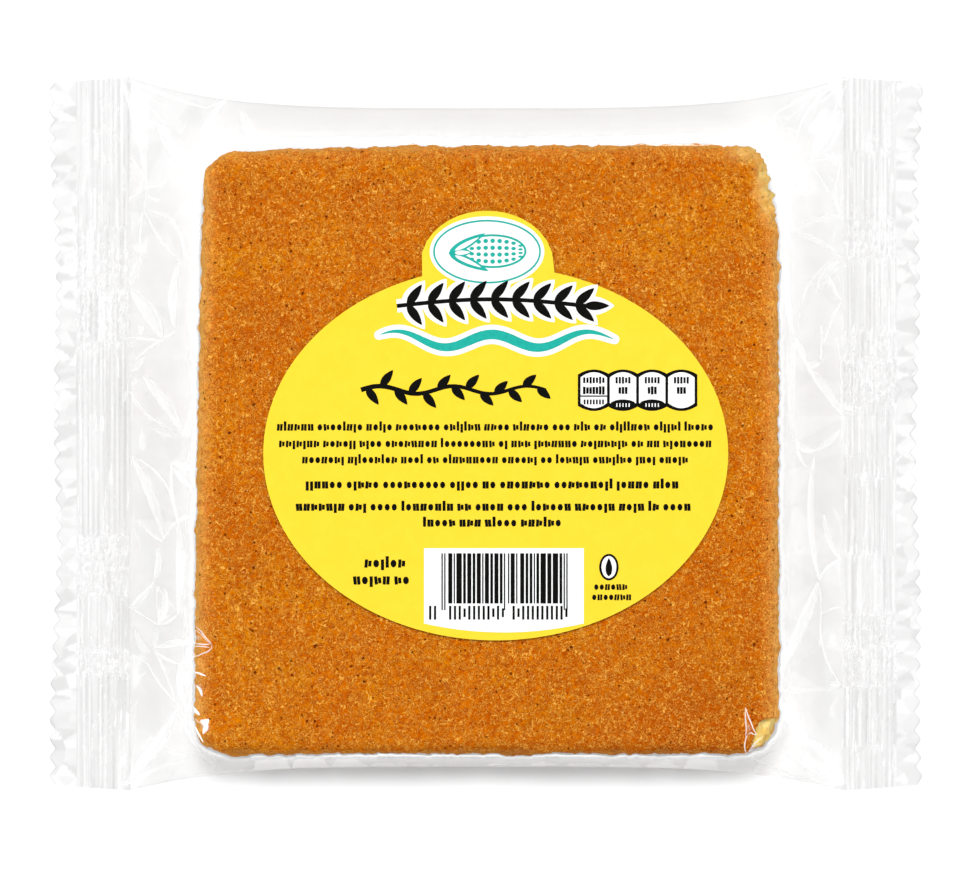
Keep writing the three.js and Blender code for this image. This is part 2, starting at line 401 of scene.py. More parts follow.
def taper(place):
    """The square is narrower towards its far left corner, and its far edge isn't quite square."""
    across = (place.y + BREAD_WIDTH / 2) / BREAD_WIDTH
    place.y += 0.006 * place.x * across**6
    if place.x < 0:
        place.x *= 1 - 0.031 * across**2
        place.y -= 1.2 * across**6 * min(-place.x / 55, 1) ** 3
    return place


def rim_paleness_and_light(x, y):
    """How pale the crust is near the edge, as paler crust and painted light: 1 at the left edge, less at the
    right and far ones, 0 inside.
    """
    from_side = min(max((BREAD_LENGTH / 2 - abs(x)) / RIM_WIDTH, 0), 1)
    from_far = min(max((BREAD_WIDTH / 2 - y) / RIM_WIDTH, 0), 1)
    return max((LEFT_RIM if x < 0 else RIGHT_RIM) * (1 - from_side) ** 2, FAR_RIM * (1 - from_far) ** 2)


# %% The bread's two worn corners
TORN_X, TORN_Y, TORN_LEAN, TORN_BASE = 53.2, -56.0, 0.32, 3
RUBBED_X, RUBBED_Y, RUBBED_REACH, RUBBED_BITE, RUBBED_EDGE = 57.0, 51.5, 12.0, 2.5, 3.5
BARE_SIDE, BARE_BELOW = 0.15, 1.2  # the sides are a little paler, from that far under the face


def torn_corner(place, x, y):
    """Takes the crust off the near right corner: the new x and y, and how much crumb shows."""
    torn = min(x - TORN_X - TORN_LEAN * (y - TORN_Y + 1.5), TORN_Y - y) + 0.5 * grain(place, 1.8, 7)
    if torn <= -0.2 or place.z <= TORN_BASE:
        return x, y, 0.0
    share = min((torn + 0.2) / 0.6, 1)
    place.z -= share * (0.7 + 1.0 * grain(place, 1.8, 8)) * min((place.z - TORN_BASE) / 10, 1)
    knob = 0.8 + 0.9 * grain(place, 1.7, 10)
    return x - knob * share, y + knob * share, share


def rubbed_corner(place, x, y, up, near_edge):
    """Rubs the far right corner down: the new x and y, and how much crumb shows."""
    rubbed = 1 - math.hypot(x - RUBBED_X, y - RUBBED_Y) / RUBBED_REACH
    if rubbed <= 0:
        return x, y, 0.0
    bite = RUBBED_BITE * rubbed**0.8 + 1.5 * grain(place, 1.7, 9) * min(rubbed * 3, 1)
    place.z -= 0.25 * max(bite, 0) * up
    return x - bite, y - bite * 0.3, 0.75 * min(rubbed * 1.6, 1) * near_edge


def edge_share(x, y):
    """1 at the bread's right and far edges, 0 some way in from them."""
    from_edge = min(BREAD_LENGTH / 2 - abs(x), BREAD_WIDTH / 2 - y)
    return max(1 - from_edge / RUBBED_EDGE, 0)


def shape_bread(bm):
    crumb = bm.verts.layers.float.new("crumb")
    # The rim number says how pale the edge is: partly paler crust, partly painted light on the rounded edge.
    rim = bm.verts.layers.float.new("rim")
    bm.normal_update()
    moves = []
    for vert in bm.verts:
        vert[rim] = rim_paleness_and_light(vert.co.x, vert.co.y)
        moves.append(bread_relief(vert.co, vert.normal))
    for vert, move in zip(bm.verts, moves):
        normal = vert.normal.copy()
        near_edge = edge_share(vert.co.x, vert.co.y)
        place = taper(vert.co + normal * move)
        x, y, torn = torn_corner(place, place.x + BREAD_X, place.y + BREAD_Y)
        x, y, rubbed = rubbed_corner(place, x, y, max(normal.z, 0), near_edge)
        if place.z < 0:
            place.z *= RESTING_SHARE
        side = 1 - abs(normal.z) if place.z < BREAD_HEIGHT - BARE_BELOW else 0.0
        vert[crumb] = max(torn, rubbed, BARE_SIDE * side)
        vert.co = Vector((x, y, place.z + BREAD_BASE)) * MM


# %% [markdown]
# ### Its crust
# The crust is a deep orange with hardly any blue in it. Over that lies a net of thin, pale, curly
# threads, where the batter's foam has dried, painted paler still as a highlight, with painted shade
# in the grooves beside them. Ridged noise gives them: where a bent noise field crosses its middle
# value, it draws thin winding lines, and a second field breaks them up. Small pale grains, which are
# painted glints, and dark pinholes, which are painted shade in the holes, are spots of a Voronoi
# pattern, each with its own chance and size.

# %% The crust's colours
CRUST = paint(212, 113, 0)
CRUST_YELLOW = paint(219, 133, 0)
CRUST_BROWN = paint(184, 82, 0)
# Pale threads of dried foam, painted paler still as a highlight.
THREAD_AND_HIGHLIGHT = paint(237, 174, 72)
# Painted shade in the grooves beside the threads.
GROOVE_SHADE = paint(148, 50, 0)
# Painted glints: small pale spots for light that the crust catches.
GLINT_SPOT = paint(236, 190, 118)
# Painted shade inside the pinholes.
PINHOLE_SHADE = paint(96, 26, 0)
# Partly the paler crust of the edge, partly painted light that lightens the rounded edge where the lamps
# reach it less.
RIM_PALE_AND_LIT = paint(255, 182, 92)
CRUMB = paint(254, 224, 140)
CRUMB_SHADE = paint(244, 196, 98)
print("the crust in Blender's linear numbers:", [round(share, 3) for share in CRUST])


# %% Threads and spots
THREAD_HALF = 0.050  # in the noise's own units, so it is thinner in millimetres on a larger scale


def threads(n, scale, shift):
    """Thin winding lines, 1 on their middle, and the grooves between them, 1 where deepest."""
    bent = n.noise(scale, detail=0.0, distortion=1.6, shift=shift)
    away = n.math("ABSOLUTE", n.math("SUBTRACT", bent, 0.5))
    broken = n.span(n.noise(scale * 0.8, detail=0.0, shift=shift + 7.0), 0.38, 0.48)
    line = n.span(away, THREAD_HALF * 0.3, THREAD_HALF, 1.0, 0.0)
    return n.math("MULTIPLY", line, broken), n.span(away, THREAD_HALF, THREAD_HALF * 2.6)


def spots(n, scale, share, radius, ragged, shift):
    """Round spots in that share of a Voronoi pattern's cells, with ragged edges: 1 inside, 0 out."""
    cells = n.add("ShaderNodeTexVoronoi", feature="F1")
    cells.inputs["Scale"].default_value = 1.0
    n.link(n.place(scale, shift), cells.inputs["Vector"])
    chance = n.add("ShaderNodeSeparateColor")
    n.link(cells.outputs["Color"], chance.inputs["Color"])
    size = n.span(chance.outputs["Red"], 1 - share, 1.0, 0.0, radius)
    edge = n.math("ADD", cells.outputs["Distance"], n.math("MULTIPLY", n.noise(scale * 4), ragged))
    inside = n.math("SUBTRACT", n.math("ADD", size, ragged * 0.5), edge)
    return n.span(inside, 0.0, 0.05)


# %% The crust's material
# A plain gradient: the crust is mixed more and more with its brown colour towards the near right.
DARKER_WAY, DARKER_FROM_TO = (0.45, -0.89, 0.0), (38.0, 76.0)  # browner towards the near right


def baked(n, tone):
    """The crust without its threads: orange, yellow and brown stretches, and a pale rim that is partly paler
    crust and partly painted light.
    """
    colour = n.mix(n.span(n.noise(0.10, detail=3.0), 0.42, 0.70, 0.0, 0.8), CRUST, CRUST_YELLOW)
    brown_share = n.span(n.noise(0.075, detail=3.0, roughness=0.6, shift=3.0), 0.48, 0.72, 0.0, 0.55)
    corner = n.add("ShaderNodeVectorMath", operation="DOT_PRODUCT")
    n.link(n.place(1.0), corner.inputs[0])
    corner.inputs[1].default_value = DARKER_WAY
    # Darker and browner towards the near right.
    brown_share = n.math("ADD", brown_share, n.span(corner.outputs["Value"], *DARKER_FROM_TO, 0.0, 0.6))
    colour = n.mix(n.math("MINIMUM", brown_share, 0.85), colour, CRUST_BROWN)
    colour = n.mix(n.span(tone, 0.46, 0.62, 0.0, 0.8), colour, CRUST_BROWN)
    patchy = n.span(n.noise(0.7, detail=3.0, shift=9.0), 0.35, 0.65, 0.50, 1.0)
    # The pale rim: partly paler crust, partly painted light on the rounded edge.
    return n.mix(n.math("MULTIPLY", n.attribute("rim"), patchy), colour, RIM_PALE_AND_LIT)


def crust_material():
    n = Nodes("crust")
    tone = n.noise(1.1, detail=2.0, roughness=0.65, shift=5.0)
    wide, wide_groove = threads(n, 1.05, 0.0)
    narrow, narrow_groove = threads(n, 2.1, 11.0)
    # Where the threads are: pale crust that also carries a painted highlight.
    thread = n.math("MAXIMUM", wide, n.math("MULTIPLY", narrow, 0.9))
    # Painted shade: darkest deep in the grooves between the threads.
    groove_shade = n.math("MULTIPLY", wide_groove, narrow_groove)
    # Small spots of painted glint.
    pale = spots(n, 1.2, 0.30, 0.19, 0.20, 23.0)
    # The pinholes: painted shade in their colour, and a dent in the bump below.
    pit = n.math("MAXIMUM", spots(n, 0.42, 0.45, 0.14, 0.30, 31.0), spots(n, 1.0, 0.42, 0.24, 0.34, 41.0))
    colour = baked(n, tone)
    for mask, share, over in (
        (groove_shade, 0.62, GROOVE_SHADE), (thread, 0.95, THREAD_AND_HIGHLIGHT), (pale, 0.85, GLINT_SPOT), (pit, 0.85, PINHOLE_SHADE),
    ):
        colour = n.mix(n.math("MULTIPLY", mask, share), colour, over)
    crumb_colour = n.mix(n.span(n.noise(0.8, detail=3.0), 0.35, 0.65), CRUMB_SHADE, CRUMB)
    n.link(n.mix(n.attribute("crumb"), colour, crumb_colour), n.shader.inputs["Base Color"])
    fine = n.bump(n.noise(2.2, detail=2.0, roughness=0.6), 0.6, 0.20)
    raised = n.bump(thread, 0.7, 0.14, below=fine)
    n.link(n.bump(pit, 1.0, -0.4, below=raised), n.shader.inputs["Normal"])
    n.link(n.span(tone, 0.3, 0.7, 0.66, 0.80), n.shader.inputs["Roughness"])
    n.shader.inputs["Specular IOR Level"].default_value = 0.0
    return n.material


# %% The bread in its place
OUTLINE_STEPS = 1500


def outline_of(bm):
    """How far the bread reaches in each of many directions from its middle, seen from above."""
    x, y = np.array([vert.co.xy for vert in bm.verts]).T / MM - np.array([[BREAD_X], [BREAD_Y]])
    steps = np.round(np.arctan2(y, x) / (2 * np.pi) * OUTLINE_STEPS).astype(int) % OUTLINE_STEPS
    reach = np.zeros(OUTLINE_STEPS)
    np.maximum.at(reach, steps, np.hypot(x, y))
    return np.maximum(reach, np.maximum(np.roll(reach, 1), np.roll(reach, -1)))


bread_mesh = plain_bread()
shape_bread(bread_mesh)
bread_outline = outline_of(bread_mesh)
outline_angles = np.arange(OUTLINE_STEPS) / OUTLINE_STEPS * math.tau
print("the bread reaches", bread_outline.min().round(1), "to", bread_outline.max().round(1), "mm out")
bread = keep(bread_mesh, "cornbread", crust_material())
bread.visible_diffuse = False
attach(bread, "crust", "film_pack")


# %% [markdown]
# ## The film
# The film is a tube pressed flat at both ends. Over the bread it is stretched and hardly shows.
# Between bread and seals it has to get from a box's section to a flat line, with more film than
# room, so it buckles into flat facets that meet in sharp creases, and the creases meet in stars.
# Cloth simulation would give round folds. The facets are given by a net of triangles instead: each
# star is lifted or sunk, the triangles between them are flat, and a fine grid takes its height from
# the triangle that it lies over. The same grid carries the pressed ribs and the zigzag cut.

# %% The film's plain form
EDGE_GAP = 0.95


def fold_line(x, waist):
    """How far from the middle a long fold lies, at a place along the pack."""
    spread = np.minimum(np.abs(x) / CRIMP_START, 1.0) ** WAIST_POWER
    return waist + (HALF_WIDTH - waist) * spread


def seam_height(y):
    return SEAM_HEIGHT + SEAM_WAVE * np.sin(2 * np.pi * y / SEAM_WAVE_LENGTH)


def from_bread(x, y):
    """Distance from the bread's outline, below 0 inside it."""
    over_x = np.abs(x - BREAD_X) - (BREAD_LENGTH / 2 - BREAD_CORNER)
    over_y = np.abs(y - BREAD_Y) - (BREAD_WIDTH / 2 - BREAD_CORNER)
    corner = np.hypot(np.maximum(over_x, 0), np.maximum(over_y, 0))
    return corner + np.minimum(np.maximum(over_x, over_y), 0) - BREAD_CORNER


def outside_bread(x, y):
    return np.maximum(from_bread(x, y) - EDGE_GAP, 0)


def inside_edge(x, y):
    to_upper = fold_line(x, UPPER_WAIST) - y
    to_lower = y + fold_line(x, LOWER_WAIST)
    to_crimp = CRIMP_START - np.abs(x)
    return np.maximum(np.minimum(np.minimum(to_upper, to_lower), to_crimp), 0)


def film_slope(x, y):
    """0 over the bread, 1 at the folds and end seals."""
    outside = outside_bread(x, y)
    return outside / (outside + inside_edge(x, y) + 1e-6)


# %% The stars of the creases: x, y and how far each is lifted or sunk
LEFT_STARS = (
    (-66.7, 48.4, 0.9), (-67.1, 43.6, -0.5), (-59.9, 33.8, 0.8), (-61.2, 29.6, -0.7),
    (-60.8, 20.9, 0.6), (-63.8, 18.4, -0.9), (-67.5, 15.0, 0.6), (-66.6, 10.8, -0.5),
    (-59.9, -0.4, 0.7), (-61.6, -5.3, -0.8), (-66.0, 2.0, 0.5), (-60.1, -17.2, 0.8),
    (-63.6, -21.3, -0.8), (-64.9, -28.7, 0.9), (-60.4, -34.6, -0.6), (-64.8, -37.4, 0.7),
    (-65.3, -42.4, -0.7), (-59.9, -44.9, 0.7), (-61.0, -53.7, -0.5), (-66.5, -51.0, 0.5),
    (-63.0, 57.5, -0.6), (-51.3, 61.7, 0.6), (-62.8, 41.0, -0.5), (-65.8, 25.4, 0.5),
)
RIGHT_STARS = (
    (56.2, 62.1, 0.6), (62.0, 53.6, -0.8), (60.0, 46.5, 0.8), (58.9, 39.1, -0.4),
    (65.6, 47.0, 0.5), (64.6, 38.0, -0.6), (64.0, 29.0, 0.7), (60.4, 18.4, -0.8),
    (64.2, 11.1, 0.9), (61.0, -1.4, -0.8), (64.6, -5.4, 0.8), (60.0, -14.0, -0.4),
    (65.1, -28.7, 1.0), (61.2, -36.5, -0.7), (59.2, -45.9, 0.6), (65.8, -42.0, -0.5),
    (62.4, -53.5, -0.6), (66.4, -50.0, 0.5), (50.9, -63.6, 0.4), (63.4, 60.0, 0.5),
)


# %% The points of the net of creases
NET_STEP = 6.5
INNER_STEP, INNER_INSET = 3.5, 2.2


def net_border(rng):
    """Points that stay on the plain form: along the seals, the long folds and the bread's edge."""
    points = []
    for share in np.linspace(-1, 1, round(2 * HALF_WIDTH / NET_STEP)):
        points += [(-CRIMP_START, share * HALF_WIDTH), (CRIMP_START, share * HALF_WIDTH)]
    for x in np.arange(-CRIMP_START + NET_STEP, CRIMP_START - 1, NET_STEP):
        points += [(x, float(fold_line(x, UPPER_WAIST))), (x, -float(fold_line(x, LOWER_WAIST)))]
    half_x, half_y = BREAD_LENGTH / 2 + EDGE_GAP, BREAD_WIDTH / 2 + EDGE_GAP
    for y in np.arange(-half_y, half_y + 1, NET_STEP * 1.2):
        y += rng.uniform(-1.5, 1.5)
        points += [(BREAD_X - half_x, BREAD_Y + y), (BREAD_X + half_x, BREAD_Y + y)]
    for x in np.arange(-half_x + 4, half_x - 3, NET_STEP * 1.4):
        x += rng.uniform(-1.5, 1.5)
        points += [(BREAD_X + x, BREAD_Y + half_y), (BREAD_X + x, BREAD_Y - half_y)]
    for share in np.linspace(-1, 1, round(2 * half_x / INNER_STEP)):
        x, y = share * (half_x - INNER_INSET), share * (half_y - INNER_INSET)
        points += [(BREAD_X + x, BREAD_Y + side * (half_y - INNER_INSET)) for side in (-1, 1)]
        points += [(BREAD_X + side * (half_x - INNER_INSET), BREAD_Y + y) for side in (-1, 1)]
    return [(x, y, 0.0) for x, y in points]


def in_shoulder(x, y):
    return outside_bread(x, y) > 0.6 and inside_edge(x, y) > 0.6


def in_end(x, y):
    return CRIMP_START + 0.5 < abs(x) and abs(y) < HALF_WIDTH


def scattered(rng, spacing, lift, where):
    """Seeded points over a part of the film, no two much closer than the spacing."""
    points = []
    for _ in range(int(160000 / spacing**2)):
        x = rng.uniform(-HALF_LENGTH - 1, HALF_LENGTH + 1)
        y = rng.uniform(-HALF_WIDTH, HALF_WIDTH)
        if where(x, y) and all(abs(x - p[0]) + abs(y - p[1]) > spacing for p in points):
            points.append((x, y, rng.choice((-1, 1)) * rng.uniform(0.4, 1.0) * lift))
    return points


# %% The net of creases
class Net:
    """A net of flat facets over plan points with heights. It knows the height and each facet's painted shade
    anywhere.
    """

    def __init__(self, points, rng):
        plan = [Vector((x, y)) for x, y, _ in points]
        corners, _, faces, origin, _, _ = delaunay_2d_cdt(plan, [], [], 0, 1e-4)
        spots = [(corner.x, corner.y, points[first[0]][2]) for corner, first in zip(corners, origin)]
        self.triangles = [[spots[i] for i in face] for face in faces if any(spots[i][2] for i in face)]
        # Each facet draws a painted shade, for how much of the studio it mirrors.
        self.facet_shades = [rng.choice((0.0, 0.35, 0.5, 0.65, 1.0)) for _ in self.triangles]

    def lift(self, x, y):
        """Height and painted shade of the facets at each place."""
        height, shade = np.zeros_like(x), np.zeros_like(x)
        for ((ax, ay, az), (bx, by, bz), (cx, cy, cz)), tone in zip(self.triangles, self.facet_shades):
            beside = (x >= min(ax, bx, cx)) & (x <= max(ax, bx, cx))
            near = np.flatnonzero(beside & (y >= min(ay, by, cy)) & (y <= max(ay, by, cy)))
            area = (by - cy) * (ax - cx) + (cx - bx) * (ay - cy)
            if not len(near) or area == 0:
                continue
            u = ((by - cy) * (x[near] - cx) + (cx - bx) * (y[near] - cy)) / area
            v = ((cy - ay) * (x[near] - cx) + (ax - cx) * (y[near] - cy)) / area
            hit = (u >= 0) & (v >= 0) & (u + v <= 1)
            height[near[hit]] = u[hit] * az + v[hit] * bz + (1 - u[hit] - v[hit]) * cz
            shade[near[hit]] = tone
        return height, shade


# %% [markdown]
# ### The end seals
# The jaws press a comb of ribs across the film. Where a crease ran in, the ribs break off in a row
# of bright ends and go on a little beside, and some stretches are crumpled. Beyond the jaws a loose
# margin is left, crumpled, and cut in a zigzag. The ribs' light and dark stripes, their bright ends
# and white dashes, the margin's grey and pale facets and the dark line along the cut are painted
# light and shade.

# %% Sizes of the end seals
# Shades and contrasts of the painted light and shade on the ribs, the margin and the cut.
RIB_DEPTH, RIB_SHADE, RIB_CONTRAST, FINE_CONTRAST, LOOSE_SHADE = 0.05, 0.59, 0.10, 0.24, 0.04
MARGIN_SHADE, MARGIN_CONTRAST, MARGIN_STRETCH = 0.50, 0.50, 0.5
CUT_SHADE, CUT_WIDTH = 0.45, 0.30
LEFT_BREAKS = (40.8, 28.0, 18.0, -20.2, -23.1, -31.4, -42.7, -46.6)
RIGHT_BREAKS = (55.5, 41.8, 34.5, 20.3, 14.4, 5.2, -4.1, -8.5, -23.6, -35.4, -41.7, -49.5, -61.2)
LEFT_LOOSE = ((24.0, 7.0), (34.5, 4.0), (-26.0, 6.0), (-44.5, 3.0))  # middle and half height
RIGHT_LOOSE = ((12.6, 8.0), (38.0, 4.0), (-41.5, 7.0))
END_TAPER, END_DROOP = 0.016, 0.9


# %% The plan of a web of film
def tooth_edge(side, y):
    """How far out the zigzag cut lies at a height along it, on the side with that sign."""
    tooth = 2 * np.abs((y / TOOTH_PITCH) % 1 - 0.5)
    bow = 1.1 * (1 - (y / HALF_WIDTH) ** 2) + 0.35 * np.sin(y / 9.0 + np.sign(side) * 2.0)
    return HALF_LENGTH - bow - TOOTH_DEPTH * tooth


def web_place(u, v, zones):
    """Plan place of a grid point. zones are (columns, to which x) from the middle outwards."""
    counts = np.cumsum([0] + [count for count, _ in zones])
    stops = [0.0] + [end for _, end in zones]
    along = np.interp(np.abs(u) * counts[-1], counts, stops)
    x = np.sign(u) * along
    share = (v + 1) / 2
    y = -fold_line(x, LOWER_WAIST) + share * (fold_line(x, LOWER_WAIST) + fold_line(x, UPPER_WAIST))
    out = np.maximum(along - CRIMP_END, 0) / (HALF_LENGTH - CRIMP_END)
    far = CRIMP_END + out * (tooth_edge(u, y) - CRIMP_END)
    x = np.where(along > CRIMP_END, np.sign(u) * far, x)
    narrower = np.clip((np.abs(x) - CRIMP_START) / (HALF_LENGTH - CRIMP_START), 0, 1)
    return x, y * (1 - END_TAPER * narrower)


# %% The relief of the end seals
def rough(x, y, size, seed):
    """Noise from -1 to 1 over arrays of places."""
    shift = seed * 31.7
    return np.array([noise.noise(Vector((a / size + shift, b / size - shift, seed))) for a, b in zip(x, y)])


def loose_share(x, y):
    """0 where the ribs are whole, towards 1 where they are crumpled."""
    loose = 0.05 + 0.3 * rough(x, y, 7.0, 3)
    for sign, places in ((-1, LEFT_LOOSE), (1, RIGHT_LOOSE)):
        for middle, half in places:
            loose += np.where(np.sign(x) == sign, 0.9 * np.clip(1.3 - np.abs(y - middle) / half, 0, 1), 0)
    return np.clip(loose, 0, 0.9)


def rib_breaks(x, y):
    """How many breaks lie beyond a place, and 1 on a break to 0 a little away from it."""
    passed, near = np.zeros_like(y), np.zeros_like(y)
    wavy = y + 0.8 * rough(x, y * 0.1, 1.6, 9)
    for sign, breaks in ((-1, LEFT_BREAKS), (1, RIGHT_BREAKS)):
        for middle in breaks:
            here = np.sign(x) == sign
            passed += here & (wavy < middle)
            near = np.maximum(near, here * np.clip(1 - np.abs(wavy - middle) / 0.7, 0, 1))
    return passed, near


def streaks(x, y, width, length, seed):
    """Noise from about -1 to 1 in upright streaks of that width and length."""
    return 2 * rough(x / width, y / length, 1.0, seed)


def end_relief(x, y, crumple, tone):
    """Of an end seal's film: how far it stands off its middle height, its shade, how white it is."""
    along = np.abs(x) - CRIMP_START
    margin = np.clip((np.abs(x) - CRIMP_END) / 0.3, 0, 1)
    ribbed = np.clip(along / 0.4, 0, 1) * (1 - margin)
    loose = loose_share(x, y)
    passed, broken = rib_breaks(x, y)
    wander = along + 0.4 * np.sin(5.1 * passed) + 0.3 * loose**2 * rough(y, along * 0.3, 0.9, 8)
    rib = np.cos(2 * np.pi * wander / RIB_PITCH) * (1 - 0.7 * loose) * (1 - broken) * ribbed
    fine = streaks(wander, y + 50 * passed, 0.36, 30.0, 5) + loose * streaks(wander, y, 0.36, 0.9, 6)
    # Painted light and shade: the ribs' lit and shaded stripes and fine streaks.
    shade = RIB_SHADE - LOOSE_SHADE * loose + RIB_CONTRAST * rib + FINE_CONTRAST * fine * (1 - 0.6 * broken)
    # Painted highlights: white dashes along the ribs and at their broken ends.
    glint_dashes = np.maximum(streaks(wander, y, 0.30, 5.5 - 5.0 * loose, 7) - 0.6 + 0.2 * loose + 0.5 * broken, 0)
    cut = tooth_edge(x, y / (1 - END_TAPER)) - np.abs(x)
    # The margin's facets each get a painted shade, and the cut a painted dark line.
    loose_shade = MARGIN_SHADE + MARGIN_CONTRAST * (tone - 0.5)
    loose_shade += CUT_SHADE * np.clip(1.2 - cut / CUT_WIDTH, 0, 1)
    relief = RIB_DEPTH * rib + margin * crumple - END_DROOP * (along / (HALF_LENGTH - CRIMP_START)) ** 2
    return relief, shade * (1 - margin) + loose_shade * margin, 0.6 * glint_dashes * ribbed


# %% The height of the film
CREASE_RADIUS = 0.28
# The veil is partly the film's haze and partly painted shade: it grows away from the bread, where the floor
# is lit more, so the film looks evenly grey.
HAZE_AND_SHADE, HAZE_AND_SHADE_REACH, FACET_SHADE, FINE_SHADE, FOLD_SHADE = 0.40, 8.0, 0.24, 0.06, 0.30
# A sharp crease turns white: partly the whitening of creased film, partly a painted highlight along its
# ridge.
CREASE_FULL, CREASE_WHITE = 0.30, 0.60
CALM_TO, CALM_OVER, CALM_SHARE = 44.0, 8.0, 0.12  # along the long sides the film is pulled tight


def creased(nets, x, y):
    """Of the nets: height with soft creases, how sharp the crease is, and each net's painted facet shades.
    """
    r = CREASE_RADIUS
    steps = ((r, 0), (-r, 0), (0, r), (0, -r))
    round_about = sum(net.lift(x + a, y + b)[0] for net in nets for a, b in steps) / 4
    heights, facet_shades = zip(*(net.lift(x, y) for net in nets))
    middle = sum(heights)
    return (middle + 4 * round_about) / 5, np.abs(middle - round_about), facet_shades


def crease_whiteness(sharpness):
    """The share of white in a crease as sharp as that."""
    share = np.clip(sharpness / CREASE_FULL, 0, 1)
    return CREASE_WHITE * share * share * (3 - 2 * share)


def web_height(x, y, upper, nets, end_net):
    """Height of the film, how white it is and how much it shades, at each place."""
    face, sign = (FILM_TOP, 1) if upper else (FILM_UNDER, -1)
    seam = seam_height(y)
    lift, sharpness, facet_shades = creased(nets, x, y)
    aside = np.clip((np.abs(x) - CALM_TO) / CALM_OVER, CALM_SHARE, 1)
    height = face + (seam - face) * film_slope(x, y) + lift * aside * sign
    # White on the creases: partly whitened film, partly painted highlight.
    white = crease_whiteness(sharpness * aside)
    # Painted shade: the veil grows away from the bread, and a darker line runs along the long folds.
    shade = HAZE_AND_SHADE * np.clip(outside_bread(x, y) / HAZE_AND_SHADE_REACH, 0, 1) + FOLD_SHADE * (inside_edge(x, y) < 0.3)
    # Painted shade: each facet dims the film by its own share.
    shade += FINE_SHADE * facet_shades[1] + FACET_SHADE * (0.5 + (facet_shades[0] - 0.5) * aside) * upper
    end = np.abs(x) > CRIMP_START
    inner = np.sign(x[end]) * (CRIMP_START + MARGIN_STRETCH * (np.abs(x[end]) - CRIMP_START))
    crumple, end_sharpness, (end_facet_shade,) = creased([end_net], inner, y[end])
    relief, shade[end], end_white = end_relief(x[end], y[end], crumple, end_facet_shade)
    height[end] = seam[end] + relief
    white[end] = crease_whiteness(end_sharpness) * (np.abs(x[end]) > CRIMP_END) + end_white
    height += sign * 0.04 * np.clip(inside_edge(x, y) / 0.5 + end, 0, 1)
    return np.maximum(height, 0.05), white, shade


# %% [markdown]
# ### Its finish
# Film this thin bends no light, so it needs no glass: part of the light goes straight through, and
# the rest mirrors, more at a flat angle, as Schlick's rule says. Mixing a transparent and a glossy
# shader that way gives clear facets, grey edges and bright glints, and shadows stay light. Film
# turns white where it is creased or stretched: partly the film's own whitening, partly painted
# highlight and painted light. Each facet also dims what lies behind it by its own share, a painted
# shade for how much of the studio it mirrors: two numbers on each vertex say how much.

# %% The film's material
HEAD_ON_MIRROR = 0.02
SHADE_DARK = 0.20


def clear_nodes(name):
    """A new material whose only shader lets all light through, and that shader."""
    n = Nodes(name)
    n.tree.nodes.remove(n.shader)
    return n, n.add("ShaderNodeBsdfTransparent")


def film_material():
    n, clear = clear_nodes("clear_film")
    n.link(n.mix(n.attribute("shade"), (1.0,) * 3, (1 - SHADE_DARK,) * 3), clear.inputs["Color"])
    gloss = n.add("ShaderNodeBsdfGlossy")
    gloss.inputs["Roughness"].default_value = 0.07
    gloss.inputs["Color"].default_value = (1.0, 1.0, 1.0, 1.0)
    angle = n.add("ShaderNodeLayerWeight")
    angle.inputs["Blend"].default_value = 0.5
    edge_on = n.math("POWER", angle.outputs["Facing"], 4.0)
    mirror = n.math("ADD", n.math("MULTIPLY", edge_on, 1 - HEAD_ON_MIRROR), HEAD_ON_MIRROR)
    film_shader = n.add("ShaderNodeMixShader")
    n.link(mirror, film_shader.inputs["Fac"])
    n.link(clear.outputs["BSDF"], film_shader.inputs[1])
    n.link(gloss.outputs["BSDF"], film_shader.inputs[2])
    return white_share_material(n, film_shader.outputs["Shader"], n.attribute("white"))


def white_share_material(n, clear_shader, share):
    """Turns a share of a clear shader white: whitened film, painted highlight and painted light, as each
    piece marks it.
    """
    white_diffuse = n.add("ShaderNodeBsdfDiffuse")
    white_diffuse.inputs["Color"].default_value = (0.95, 0.95, 0.95, 1.0)
    both = n.add("ShaderNodeMixShader")
    n.link(share, both.inputs["Fac"])
    n.link(clear_shader, both.inputs[1])
    n.link(white_diffuse.outputs["BSDF"], both.inputs[2])
    n.link(both.outputs["Shader"], n.output.inputs["Surface"])
    return n.material


# %% [markdown]
# ### The two webs
# The face and the back of the tube are one sheet each: a flat grid, with its columns closer together
# where the film has more relief. Numpy moves all its points at once, which is far faster than one
# vertex at a time. The draws are seeded, so every run crumples the film in the same way.

# %% A sheet of film
UPPER_ZONES = ((6, 46.0), (8, 54.0), (42, CRIMP_START), (56, CRIMP_END), (14, 85.0), (5, HALF_LENGTH))
UNDER_ZONES = ((8, 46.0), (6, 57.0), (20, CRIMP_START), (56, CRIMP_END), (12, 85.0), (3, HALF_LENGTH))


def film_sheet(name, columns, rows, place, height, facing_up):
    """A grid of film, moved with numpy: place gives x and y, and height gives the rest."""
    bm = bmesh.new()
    bmesh.ops.create_grid(bm, x_segments=columns, y_segments=rows, size=1.0)
    if not facing_up:
        bmesh.ops.reverse_faces(bm, faces=bm.faces)
    sheet = keep(bm, name, film)
    flat = np.empty(len(sheet.data.vertices) * 3, np.float32)
    sheet.data.vertices.foreach_get("co", flat)
    u, v = flat.reshape(-1, 3)[:, :2].astype(float).T
    x, y = place(u, v)
    z, white, shade = height(x, y)
    sheet.data.vertices.foreach_set("co", (np.stack([x, y, z], 1) * MM).astype(np.float32).ravel())
    for label, values in (("white", white), ("shade", shade)):
        attribute = sheet.data.attributes.new(label, "FLOAT", "POINT")
        attribute.data.foreach_set("value", values.astype(np.float32))
    sheet.data.update()
    sheet.visible_shadow = False
    attach(sheet, "film", "film_pack")
    return sheet


